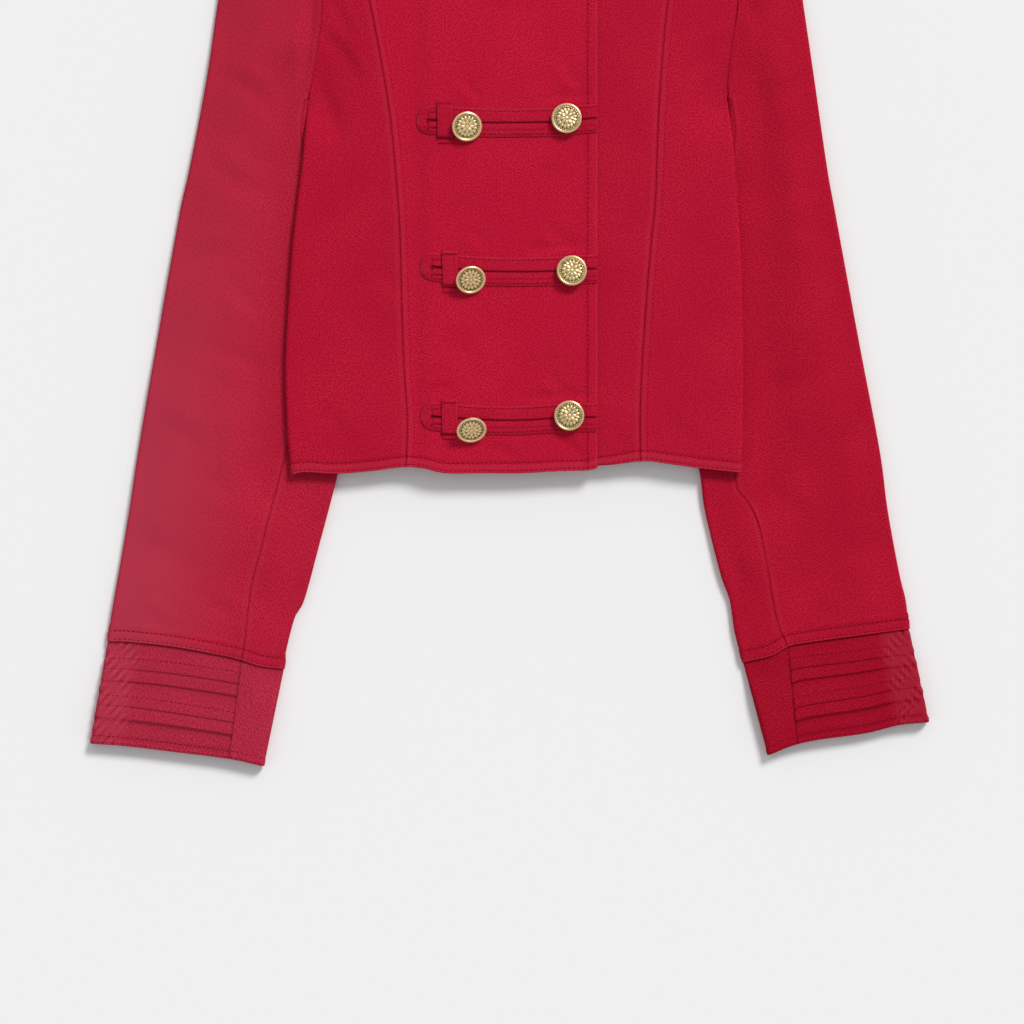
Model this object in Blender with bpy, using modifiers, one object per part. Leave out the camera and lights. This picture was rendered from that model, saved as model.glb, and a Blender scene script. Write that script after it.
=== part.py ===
"""Cropped military jacket, laid flat on its back with the sleeves down its sides.

+X is the wearer's left, +Y points to the neck and +Z is up, out of the front.
The origin is under the middle of the garment, on the surface that it lies on.
Tables and sizes are in millimetres.
"""

import bisect
import math

import bmesh
import bpy
from mathutils import Matrix, Vector
from mathutils.bvhtree import BVHTree

MM = 0.001

# One layer of cloth and the round edge where a front turns into a back
CLOTH = 1.2
SEAM_GAP = 0.3
FOLD_RADIUS = 2.65
REST = CLOTH / 2
FOLD_MIDDLE = REST + FOLD_RADIUS
FOLD_TOP = FOLD_MIDDLE + FOLD_RADIUS
# Columns: inset from the edge and rise from its middle, as shares of the radius
FOLD = ((0.0, 0.08), (0.04, 0.40), (0.25, 0.76), (1.0, 1.0))

# Heights of the middle of a wall
SLEEVE_LAYER_GAP = 0.4
OVER_SLEEVE = FOLD_TOP + CLOTH + SLEEVE_LAYER_GAP
SIDE_MIDDLE = OVER_SLEEVE + FOLD_RADIUS
CHEST_TOP = 12.9
SHOULDER_TOP = 9.6
ARMHOLE_TOP = 8.6
SLEEVE_TOP = 10.4
OUTER_TOP = 6.6
OVERLAP_LIFT = CLOTH + 0.5
WAVE = 0.7
WAVE_ACROSS = 37.0
WAVE_ALONG = 61.0
WAVE_SHIFT = 0.6

# How far each change of height takes
SIDE_CLIMB = 36.0
RAMP = 16.0
RAMP_CLEARANCE = 2.5
PRESS_START = 12.0
PRESS_REACH = 32.0
EDGE_REACH = 45.0
ARMHOLE_REACH = 26.0
ARMHOLE_SHAPE = 40.0
OVERLAP_RAMP = 14.0
OVERLAP_CLEARANCE = 3.0
SIDE_CLEARANCE = 7.5
CHEST_Y = 90.0
CHEST_FALL = 200.0
HEM_EASE = 40.0

# Creases across a sleeve: how often, how deep and how far from its top and the body
CREASE_PACE = 23.0
CREASE_DEPTH = 0.9
CREASE_START = 8.0
CREASE_CLEARANCE = 20.0
BESIDE_BODY = 60.0

# Outline of each side, in x and y. "right" is the wearer's right, at -X.
SIDE_EDGE = {
    "right": ((-152.2, -132.3), (-155.4, -101.2), (-157.1, -66.2), (-156.4, -38.2),
              (-152.6, 17.9), (-149.1, 55.7), (-144.2, 94.9), (-141.4, 131.3)),
    "left": ((161.0, -130.9), (162.4, -101.2), (162.8, -41.7), (161.7, 3.9),
             (158.9, 59.9), (156.1, 94.9), (152.9, 131.3)),
}
ARMHOLE = {
    "right": ((-183.4, 297.9), (-160.3, 270.6), (-142.8, 241.9), (-133.7, 213.9),
              (-131.6, 192.9), (-134.4, 168.4), (-138.6, 145.3), (-141.4, 131.3)),
    "left": ((189.0, 297.9), (172.9, 270.6), (164.5, 241.9), (161.0, 213.9),
             (158.9, 192.9), (155.4, 168.4), (152.9, 145.3), (152.9, 131.3)),
}
PRINCESS_SEAM = {
    "right": ((-72.8, -127.1), (-71.8, -94.2), (-74.2, -58.5), (-75.9, -10.2),
              (-77.7, 48.0), (-82.9, 108.9), (-88.2, 145.3), (-98.7, 199.9),
              (-107.1, 220.9), (-121.1, 236.3), (-142.8, 241.9)),
    "left": ((91.0, -123.2), (91.0, -80.2), (94.5, -19.3), (98.7, 31.9),
             (101.5, 59.9), (104.3, 129.9), (110.6, 199.9), (118.3, 220.9),
             (134.4, 236.3), (164.5, 241.9)),
}
SLEEVE_OUTER = {
    "right": ((-183.4, 297.9), (-194.6, 252.4), (-204.4, 199.9), (-212.1, 147.4),
              (-224.0, 84.4), (-231.7, 49.4), (-247.8, -41.7), (-260.4, -115.2),
              (-266.7, -157.2), (-274.4, -202.7), (-279.3, -230.7), (-281.8, -249.2)),
    "left": ((189.0, 297.9), (197.4, 252.4), (205.1, 199.9), (212.8, 147.4),
             (221.9, 84.4), (228.2, 49.4), (245.0, -41.7), (259.0, -115.2),
             (264.6, -157.2), (273.0, -202.7), (277.2, -220.2), (279.6, -240.5)),
}
SLEEVE_INNER = {
    "right": ((-144.4, 128.3), (-146.6, 94.9), (-133.0, 66.9), (-115.5, 37.5),
              (-106.4, 3.9), (-105.0, -31.2), (-110.6, -80.2), (-121.1, -130.6),
              (-134.4, -181.7), (-144.9, -220.2), (-151.2, -231.4), (-157.5, -255.2),
              (-159.2, -268.5)),
    "left": ((156.0, 128.3), (158.6, 94.9), (143.6, 66.9), (124.6, 37.5),
             (113.4, 3.9), (111.3, -31.2), (120.4, -80.2), (133.0, -127.8),
             (137.2, -157.2), (148.4, -202.7), (154.7, -220.2), (158.2, -243.3),
             (164.1, -263.9)),
}
FRONT_SLEEVE_SEAM = {
    "right": ((-151.5, 128.8), (-153.0, 94.9), (-147.5, 66.9), (-143.0, 37.5),
              (-142.5, -10.2), (-149.0, -80.2), (-160.3, -129.2), (-169.4, -163.5),
              (-174.3, -185.2), (-181.3, -211.8), (-185.5, -248.2), (-187.6, -261.5)),
    "left": ((163.2, 128.8), (165.0, 94.9), (157.5, 66.9), (152.0, 37.5),
             (151.0, -10.2), (154.5, -80.2), (158.2, -136.2), (165.9, -150.2),
             (173.6, -165.6), (180.6, -199.2), (186.9, -234.2), (192.5, -248.2),
             (194.6, -253.1)),
}
CUFF_TOP = {
    "right": ((-281.8, -249.2), (-265.3, -249.6), (-233.8, -253.1), (-193.2, -260.8),
              (-175.7, -266.4), (-159.2, -268.5)),
    "left": ((279.6, -240.5), (240.8, -245.4), (201.6, -251.0), (192.5, -253.8),
             (182.7, -259.4), (164.1, -263.9)),
}
CUFF_END = {
    "right": ((-294.3, -320.6), (-268.8, -322.4), (-233.8, -326.6), (-195.3, -331.5),
              (-173.2, -336.4)),
    "left": ((293.6, -305.6), (272.3, -307.7), (249.2, -313.3), (214.2, -318.2),
             (196.7, -322.4), (181.3, -328.7)),
}
CUFF_SEAM_END = {"right": (-196.5, -331.3), "left": (200.9, -321.2)}
BACK_SEAM_SHARE = 0.30
SHOULDER_POINT = {"right": (-183.4, 297.9), "left": (189.0, 297.9)}
NECK_POINT = {"right": (-80.5, 336.4), "left": (87.5, 336.4)}
FRONT_NECK = ((-80.5, 336.4), (-74.9, 297.9), (-54.6, 262.9), (-28.0, 241.9),
              (3.5, 234.9), (35.0, 241.9), (60.9, 262.9), (81.9, 297.9), (87.5, 336.4))
BACK_NECK = ((-80.5, 336.4), (-58.0, 323.5), (3.5, 317.5), (65.0, 323.5), (87.5, 336.4))
FRONT_HEM = ((-152.2, -132.3), (-143.5, -130.6), (-121.8, -131.6), (-98.0, -129.9),
             (-75.6, -127.1), (-61.6, -127.8), (-44.8, -131.3), (-16.1, -131.3),
             (7.0, -131.3), (33.6, -129.9), (55.3, -129.2), (60.9, -127.4),
             (72.1, -126.0), (86.8, -123.4), (98.0, -122.9), (105.0, -123.9),
             (133.0, -127.8), (161.0, -130.9))
FRONT_EDGE_X = 60.9
UNDERLAP_X = -51.0
NECK_MIDDLE_X = 3.5
HIDDEN_HEM_RISE = 1.6

# Grid counts
BODY_ROWS = 10
CHEST_ROWS = 5
YOKE_ROWS = 4
SIDE_COLUMNS = 5
FOLD_WIDTHS = 12
SHOULDER_COLUMNS = 5
BACK_COLUMNS = 6
HEM_POINTS = 40
HEM_EASE_POINTS = 4.0
SEAM_SAMPLES = 400
LINE_POINTS = 40
BACK_SEAM_ROWS = 6.0
NECK_BLEND = 3.0
RELAXING_ROUNDS = 150
RAMP_COLUMNS = 4
BACK_HEM_Y = -129.5
SLEEVE_ROWS = 13
ARMHOLE_CORNER = 8
OUTER_COLUMNS = 7
UNDER_OUTER_COLUMNS = 4
INNER_COLUMNS = 3
UNDER_INNER_COLUMNS = 4
UNDER_CUFF_ROWS = 3
SEAM_TIP = 1.7
UNDERARM_STEP = 6.0
PRINCESS_CLUSTER = (1.5, 3.0, 5.0, 8.5)
ARMHOLE_EASE = {"shoulder": 0.9, "between": 0.25, "underarm": 2.6}
EASE_REACH = 14.0
SHOULDER_EASE_WAY = (0.74, -0.67)

# Cuff: raised double tapes, as shares of its depth, and their height
CUFF_STEP = 1.0
TAPES = ((0.124, 0.233, 0.356), (0.500, 0.609, 0.738))
TAPE_RISE = 0.8
TAPE_GROOVE = 0.15
TAPE_SLOPE = 0.008

# Closing tabs. Columns: left end, middle of the height, right end
TABS = ((-65.1, 114.8, 60.4), (-62.3, 10.5, 60.4), (-62.3, -93.8, 60.4))
TAB_HALF_WIDTH = 10.1
TAB_THICKNESS = 1.6
# Across a tab: place as a share of its half width, and thickness
TAB_PROFILE = ((-1.0, 0.7), (-0.88, TAB_THICKNESS), (-0.1, TAB_THICKNESS), (0.0, 0.6),
               (0.1, TAB_THICKNESS), (0.88, TAB_THICKNESS), (1.0, 0.7))
TAB_TIP = 9.0
TAB_TIP_COLUMNS = 3
TAB_TIP_START = 0.30
TAB_COLUMNS = 10
SEAT_REACH = 4.0
# Loops over the tabs. Columns: middle across, top, bottom
LOOPS = ((-45.4, 129.2, 99.1), (-41.7, 24.2, -4.9), (-41.9, -79.5, -107.5))
LOOP_HALF_WIDTH = 5.4
LOOP_THICKNESS = 1.1
LOOP_RAMP = 2.6
# Shank buttons. Columns: x, y, tilt in degrees, heading of the tilt in degrees
BUTTONS = {
    "button_1_outer": (-30.1, 110.3, 20.0, -62.0),
    "button_1_inner": (39.4, 115.7, 2.0, 90.0),
    "button_2_outer": (-27.5, 3.6, 30.0, -68.0),
    "button_2_inner": (43.0, 9.5, 2.0, 60.0),
    "button_3_outer": (-26.9, -100.8, 38.0, -76.0),
    "button_3_inner": (41.3, -91.4, 3.0, -100.0),
}
BUTTON_RADIUS = 10.4
BUTTON_STEPS = 18
SHANK_RADIUS = 1.8
FACE_SHANK = 3.0
RIM_CLEARANCE = 0.4
LEANING = 10.0
# A cap's outline: distance from its middle and height, from its face to its back
CAP = ((0.0, 2.3), (6.6, 2.0), (8.3, 2.2), (9.3, 2.9), (10.1, 2.4), (BUTTON_RADIUS, 1.4),
       (9.7, 0.3), (6.5, 0.0), (SHANK_RADIUS, -0.2))

RED = (0.42, 0.008, 0.032, 1.0)
GOLD = (0.62, 0.50, 0.27, 1.0)


def smooth(share):
    """Ease from 0 to 1."""
    share = min(1.0, max(0.0, share))
    return share * share * (3.0 - 2.0 * share)


def mix(first, second, share):
    return first + (second - first) * share


def curve(table, steps=12):
    """A smooth line through the points of a table, as close points."""
    points = [Vector(point) for point in table]
    padded = [points[0] * 2 - points[1]] + points + [points[-1] * 2 - points[-2]]
    line = []
    for start in range(len(points) - 1):
        before, here, there, after = padded[start:start + 4]
        for step in range(steps):
            u = step / steps
            line.append(0.5 * (2 * here + (there - before) * u
                               + (2 * before - 5 * here + 4 * there - after) * u * u
                               + (3 * here - before - 3 * there + after) * u ** 3))
    return line + [points[-1]]


def length(line):
    return sum((b - a).length for a, b in zip(line, line[1:]))


def walk(line, distances):
    """Points of a line at distances along it."""
    reach = [0.0]
    for a, b in zip(line, line[1:]):
        reach.append(reach[-1] + (b - a).length)
    found = []
    for distance in distances:
        distance = min(max(distance, 0.0), reach[-1])
        place = min(max(bisect.bisect_right(reach, distance) - 1, 0), len(line) - 2)
        span = reach[place + 1] - reach[place]
        found.append(line[place].lerp(line[place + 1], (distance - reach[place]) / span))
    return found


def even(line, count):
    total = length(line)
    return walk(line, [total * step / count for step in range(count + 1)])


def nearest(line, point):
    """Distance from a point to a line, and how far along the line that is."""
    best = (1e9, 0.0)
    reach = 0.0
    for a, b in zip(line, line[1:]):
        span = b - a
        share = min(1.0, max(0.0, (point - a).dot(span) / max(span.length_squared, 1e-12)))
        gap = (point - a - span * share).length
        if gap < best[0]:
            best = (gap, reach + share * span.length)
        reach += span.length
    return best


def spread(total, count, folded_start, folded_end):
    """Distances along an edge: close together at its folded ends, even between."""
    insets = [inset * FOLD_RADIUS for inset, rise in FOLD]
    start = insets if folded_start else [0.0]
    end = [total - inset for inset in reversed(insets)] if folded_end else [total]
    between = [mix(start[-1], end[0], step / count) for step in range(1, count)]
    return start + between + end


def inset(points, distance):
    """Points moved to the left of their line's direction."""
    moved = []
    for place, point in enumerate(points):
        before = points[max(place - 1, 0)]
        after = points[min(place + 1, len(points) - 1)]
        along = (after - before).normalized()
        moved.append(point + Vector((-along.y, along.x)) * distance)
    return moved


def height_at(table, key):
    """Value of a rising or falling line of (key, value) points."""
    for (first, low), (second, high) in zip(table, table[1:]):
        if min(first, second) <= key <= max(first, second):
            return mix(low, high, (key - first) / (second - first))
    ends = (table[0], table[-1])
    return min(ends, key=lambda end: abs(end[0] - key))[1]


SIDES = {"right": -1.0, "left": 1.0}
SIDE_LINE = {side: curve(SIDE_EDGE[side]) for side in SIDES}
ARM_LINE = {side: curve(ARMHOLE[side]) for side in SIDES}
PRINCESS_LINE = {side: curve(PRINCESS_SEAM[side]) for side in SIDES}
OUTER_LINE = {side: curve(SLEEVE_OUTER[side]) for side in SIDES}
INNER_LINE = {side: curve(SLEEVE_INNER[side]) for side in SIDES}
SEAM_LINE = {side: curve(FRONT_SLEEVE_SEAM[side]) for side in SIDES}
CUFF_TOP_LINE = {side: curve(CUFF_TOP[side]) for side in SIDES}
CUFF_END_LINE = {side: curve(CUFF_END[side]) for side in SIDES}
SHOULDER_LINE = {side: [Vector(SHOULDER_POINT[side]), Vector(NECK_POINT[side])]
                 for side in SIDES}
NECK_LINE = curve(FRONT_NECK)
HEM_LINE = curve(FRONT_HEM)
UNDERARM_Y = SIDE_EDGE["right"][-1][1]


def edge_x(line, y):
    return height_at([(point.y, point.x) for point in line], y)


def side_middle(y):
    """Height of the middle of the body's side edge, which climbs over the sleeve."""
    climb = smooth((UNDERARM_Y - y) / SIDE_CLIMB)
    return mix(FOLD_MIDDLE, SIDE_MIDDLE, climb)


def armhole_height(side, reach):
    """Height of the front armhole seam, low at the shoulder and at the underarm."""
    end = length(ARM_LINE[side]) - reach
    return mix(FOLD_TOP, ARMHOLE_TOP, smooth(min(reach, end) / ARMHOLE_SHAPE))


def front_height(x, y):
    """Height of the lower front layer, blended from its edges to the chest."""
    point = Vector((x, y))
    side = "right" if x < 0.0 else "left"
    inner = mix(CHEST_TOP, SHOULDER_TOP, smooth((y - CHEST_Y) / CHEST_FALL))
    inner += WAVE * math.sin(x / WAVE_ACROSS + WAVE_SHIFT) * math.cos(y / WAVE_ALONG)
    by_side, reach = nearest(SIDE_LINE[side], point)
    found = [(by_side, FOLD_RADIUS + side_middle(walk(SIDE_LINE[side], [reach])[0].y))]
    by_arm, reach = nearest(ARM_LINE[side], point)
    found.append((by_arm, armhole_height(side, reach)))
    by_shoulder, reach = nearest(SHOULDER_LINE[side], point)
    found.append((by_shoulder, FOLD_TOP))
    gap, edge = min(found)
    return mix(edge, inner, smooth(gap / EDGE_REACH))


def over_height(x, y):
    """Height of the front that lies on top, lifted where it overlaps the other."""
    start = UNDERLAP_X - OVERLAP_CLEARANCE - OVERLAP_RAMP
    lift = smooth((x - start) / OVERLAP_RAMP)
    return front_height(x, y) + OVERLAP_LIFT * lift


def ramp_head(side, y):
    """How far out the back's ramp over a sleeve ends, clear of the sleeve's inner edge."""
    body = abs(edge_x(SIDE_LINE[side], min(y, UNDERARM_Y)))
    sleeve = abs(edge_x(INNER_LINE[side], y))
    return min(sleeve - RAMP_CLEARANCE, body - SIDE_CLEARANCE)


def sleeve_height(side, x, y, along):
    """Height of a sleeve's upper layer: full outside the body, pressed under it."""
    out = SIDES[side]
    point = Vector((x, y))
    hem_y = SIDE_LINE[side][0].y
    beside, reach = nearest(SIDE_LINE[side], point)
    beyond = x * out - edge_x(SIDE_LINE[side], min(y, UNDERARM_Y)) * out
    if y < hem_y:
        free = math.hypot(max(beyond, 0.0), hem_y - y)
    else:
        free = beyond if y < UNDERARM_Y else min(beside, BESIDE_BODY)
    height = mix(FOLD_TOP, SLEEVE_TOP, smooth((free - PRESS_START) / PRESS_REACH))
    outer_gap = nearest(OUTER_LINE[side], point)[0]
    height = mix(min(height, OUTER_TOP), height, smooth(outer_gap / PRESS_REACH))
    inner_gap = nearest(INNER_LINE[side], point)[0]
    height = mix(min(height, FOLD_TOP), height, smooth(inner_gap / PRESS_REACH))
    by_arm, reach = nearest(ARM_LINE[side], point)
    if y > UNDERARM_Y - ARMHOLE_REACH:
        seam = armhole_height(side, reach)
        height = mix(seam, height, smooth(by_arm / ARMHOLE_REACH))
    start = smooth(along * CREASE_START) * (free > CREASE_CLEARANCE)
    return height - CREASE_DEPTH * math.sin(along * CREASE_PACE) ** 2 * start


def coons(bottom, top, left, right):
    """A grid of plan points between four edges; rows run from bottom to top."""
    across = [(a + b) / 2 for a, b in zip(shares(bottom), shares(top))]
    upward = [(a + b) / 2 for a, b in zip(shares(left), shares(right))]
    rows = []
    for j, t in enumerate(upward):
        row = []
        for i, s in enumerate(across):
            point = bottom[i] * (1 - t) + top[i] * t + left[j] * (1 - s) + right[j] * s
            point = point - (bottom[0] * (1 - s) * (1 - t) + bottom[-1] * s * (1 - t)
                             + top[0] * (1 - s) * t + top[-1] * s * t)
            row.append(point)
        rows.append(row)
    return rows


def relaxed(rows):
    """Even out the inside points of a plan grid, so that it folds over nowhere."""
    for turn in range(RELAXING_ROUNDS):
        for j in range(1, len(rows) - 1):
            below, row, above = rows[j - 1:j + 2]
            for i in range(1, len(row) - 1):
                across = (row[i + 1] - row[i - 1]) / 2
                upward = (above[i] - below[i]) / 2
                twist = (above[i + 1] - above[i - 1] - below[i + 1] + below[i - 1]) / 4
                wide = upward.length_squared
                high = across.length_squared
                total = (row[i + 1] + row[i - 1]) * wide + (above[i] + below[i]) * high
                row[i] = (total - twist * across.dot(upward) * 2) / (2 * (wide + high))
    return rows


def collection(name):
    made = bpy.data.collections.new(name)
    bpy.context.scene.collection.children.link(made)
    return made


def material(name, colour, roughness, metallic):
    made = bpy.data.materials.new(name)
    made.use_nodes = True
    shader = made.node_tree.nodes["Principled BSDF"]
    shader.inputs["Base Color"].default_value = colour
    shader.inputs["Roughness"].default_value = roughness
    shader.inputs["Metallic"].default_value = metallic
    return made


def surface(name, rows, finish):
    """One open sheet through a grid of points, its upper side facing out."""
    mesh = bpy.data.meshes.new(name)
    build = bmesh.new()
    grid = [[build.verts.new(point * MM) for point in row] for row in rows]
    for low, high in zip(grid, grid[1:]):
        for i in range(len(low) - 1):
            build.faces.new((low[i], low[i + 1], high[i + 1], high[i]))
    build.to_mesh(mesh)
    build.free()
    mesh.shade_smooth()
    mesh.materials.append(finish)
    made = bpy.data.objects.new(name, mesh)
    JACKET.objects.link(made)
    return made


def cloth(name, rows, finish):
    """A sheet with the thickness of one layer, half to each side."""
    made = surface(name, rows, finish)
    wall = made.modifiers.new("layer", "SOLIDIFY")
    wall.thickness = CLOTH * MM
    wall.offset = 0.0
    return made


def raised(name, rows, reliefs, finish):
    """A closed wall over a grid: plain inside, its outer points raised by reliefs."""
    outer = []
    inner = []
    for row, facing, relief in zip(rows, grid_normals(rows), reliefs):
        outer.append([point + normal * (CLOTH / 2 + rise)
                      for point, normal, rise in zip(row, facing, relief)])
        inner.append([point - normal * CLOTH / 2 for point, normal in zip(row, facing)])
    return slab(name, inner, outer, finish)


def sheet_tree(made):
    """A search tree of a piece's open sheet, in millimetres."""
    points = [vertex.co / MM for vertex in made.data.vertices]
    return BVHTree.FromPolygons(points, [face.vertices for face in made.data.polygons])


def grid_normals(rows):
    """Upward or outward normals of a grid of points."""
    normals = []
    for j, row in enumerate(rows):
        line = []
        below = rows[max(j - 1, 0)]
        above = rows[min(j + 1, len(rows) - 1)]
        for i in range(len(row)):
            across = row[min(i + 1, len(row) - 1)] - row[max(i - 1, 0)]
            line.append(across.cross(above[i] - below[i]).normalized())
        normals.append(line)
    return normals


def armhole_points(side):
    """Front armhole samples from the shoulder point to the underarm, and the seam tip's place."""
    line = ARM_LINE[side]
    total = length(line)
    tip = nearest(line, Vector(PRINCESS_SEAM[side][-1]))[1]
    upper = spread(tip, YOKE_ROWS, True, False)
    start = tip + SEAM_TIP
    stop = total - UNDERARM_STEP
    lower = [mix(start, stop, step / CHEST_ROWS) for step in range(CHEST_ROWS + 1)]
    fold = [total - share * FOLD_RADIUS for share, rise in reversed(FOLD)]
    return walk(line, upper + lower + fold), len(upper) - 1


def back_armhole_points(side):
    """The same samples, but for those that only the front's seam needs."""
    arm, tip = armhole_points(side)
    return [point for place, point in enumerate(arm) if place not in (tip - 3, tip - 1, tip + 1)]


def princess_points(side):
    """Samples of the front seam from the hem to its tip at the armhole."""
    line = PRINCESS_LINE[side]
    total = length(line)
    dense = [total * step / SEAM_SAMPLES for step in range(SEAM_SAMPLES + 1)]
    level = min(dense, key=lambda value: abs(walk(line, [value])[0].y - UNDERARM_Y))
    low = [level * step / BODY_ROWS for step in range(BODY_ROWS + 1)]
    near = [level + value for value in PRINCESS_CLUSTER]
    last = total - SEAM_TIP
    high = [mix(near[-1], last, step / CHEST_ROWS) for step in range(1, CHEST_ROWS + 1)]
    return walk(line, low + near + high + [total])


def oriented(rows, side):
    """Rows run to +X, so that a sheet's upper side faces up on either side."""
    return rows if side == "right" else [list(reversed(row)) for row in rows]


def side_front(side, finish):
    """The narrow front piece from the side edge to the princess seam."""
    out = SIDES[side]
    turn = -out * SEAM_GAP / 2
    edge = even(SIDE_LINE[side], BODY_ROWS)
    arm, tip = armhole_points(side)
    arm_up = list(reversed(arm[tip + 1:]))
    outer = edge + inset(arm_up, -turn)[1:]
    seam = inset(princess_points(side), turn)[:-1]
    hem = even_between(HEM_LINE, SIDE_LINE[side][0], seam[0])
    rises = [rise for inset_share, rise in FOLD]
    insets = [inset_share * FOLD_RADIUS for inset_share, rise in FOLD]
    rows = []
    reach = len(outer) - 1
    for j, (start, end) in enumerate(zip(outer, seam)):
        width = (end - start).length
        folded = min(1.0, width / (FOLD_WIDTHS * FOLD_RADIUS))
        row = []
        for i in range(len(insets) + SIDE_COLUMNS):
            if i < len(insets):
                share = insets[i] * folded / width
            else:
                first = insets[-1] * folded / width
                share = mix(first, 1.0, (i - len(insets) + 1) / SIDE_COLUMNS)
            point = start.lerp(end, share)
            straight = outer[0].lerp(seam[0], share)
            drop = point_at(hem, share) - straight
            point = point + drop * (1.0 - j / reach) ** 4
            column = rises[i] if i < len(rises) else 1.0
            row_rise = rises[min(max(j - BODY_ROWS, 0), len(rises) - 1)]
            rise = max(column, row_rise)
            top = front_height(point.x, point.y)
            middle = side_middle(point.y)
            row.append(Vector((point.x, point.y, middle + rise * (top - middle))))
        rows.append(row)
    return cloth("front_side_" + side, oriented(rows, side), finish)


def fold_rows(below, top, edge):
    """Close rows under a folded top edge, which start at the points of a side edge."""
    rows = []
    for (share, rise), start in zip(reversed(FOLD), edge):
        row = [high + (low - high).normalized() * share * FOLD_RADIUS
               for low, high in zip(below, top)]
        rows.append([start] + row[1:])
    return rows


def even_between(line, start, end, count=24):
    """Points of a line between the places nearest to two points."""
    first = nearest(line, start)[1]
    last = nearest(line, end)[1]
    return walk(line, [mix(first, last, step / count) for step in range(count + 1)])


def point_at(points, share):
    place = min(int(share * (len(points) - 1)), len(points) - 2)
    return points[place].lerp(points[place + 1], share * (len(points) - 1) - place)


def centre_front(side, finish):
    """The front piece from the princess seam to the front edge, up to the neck."""
    over = side == "right"
    out = SIDES[side]
    turn = -out * SEAM_GAP / 2
    seam = princess_points(side)
    arm, tip = armhole_points(side)
    left = inset(seam[:-1] + list(reversed(arm[:tip + 1])), -turn)
    edge_at = FRONT_EDGE_X if over else UNDERLAP_X
    rise = 0.0 if over else HIDDEN_HEM_RISE
    hem = even_between(HEM_LINE, left[0], Vector((edge_at, BACK_HEM_Y)))
    hem = [Vector((point.x, point.y + rise * smooth(abs(point.x - left[0].x) / HEM_EASE)))
           for point in hem]
    hem[0] = left[0]
    neck = NECK_LINE if over else list(reversed(NECK_LINE))
    beyond_middle = [place for place, point in enumerate(neck)
                     if (point.x - NECK_MIDDLE_X) * out <= 0.0]
    stop = min(beyond_middle, key=lambda place: abs(neck[place].x - edge_at))
    neck_part = neck[:stop + 1]
    top_edge = Vector((edge_at, neck_part[-1].y))
    neck_part[-1] = top_edge
    neck_columns = 9 if over else 8
    top = even(SHOULDER_LINE[side], SHOULDER_COLUMNS)
    top[0] = left[-1]
    top += even(neck_part, neck_columns)[1:]
    count = len(top) - 1
    bottom = [point_at(hem, step / count) for step in range(count + 1)]
    reach = [0.0]
    for a, b in zip(left, left[1:]):
        reach.append(reach[-1] + (b - a).length)
    high = top_edge.y - bottom[-1].y
    scale = (high - FOLD_RADIUS) / (reach[-1] - FOLD_RADIUS)
    clusters = len(FOLD)
    steps = [value * scale for value in reach[:-clusters]] + [high]
    right = [Vector((edge_at, bottom[-1].y + value)) for value in steps]
    rows = []
    grid = relaxed(coons(bottom, top, left[:-clusters] + left[-1:], right))
    grid = grid[:-1] + fold_rows(grid[-2], grid[-1], left[-clusters:])
    for j, line in enumerate(grid):
        place = len(grid) - 1 - j
        row_rise = FOLD[place][1] if place < len(FOLD) else 1.0
        row = []
        for i, point in enumerate(line):
            beyond = max(i - SHOULDER_COLUMNS + 1, 0)
            weight = 1.0 - smooth(beyond / (NECK_BLEND + 1.0))
            rise = 1.0 - weight * (1.0 - row_rise)
            height = over_height if over else front_height
            top_z = height(point.x, point.y)
            row.append(Vector((point.x, point.y, mix(FOLD_MIDDLE, top_z, rise))))
        rows.append(row)
    return cloth("front_centre_" + side, oriented(rows, side), finish)


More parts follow.
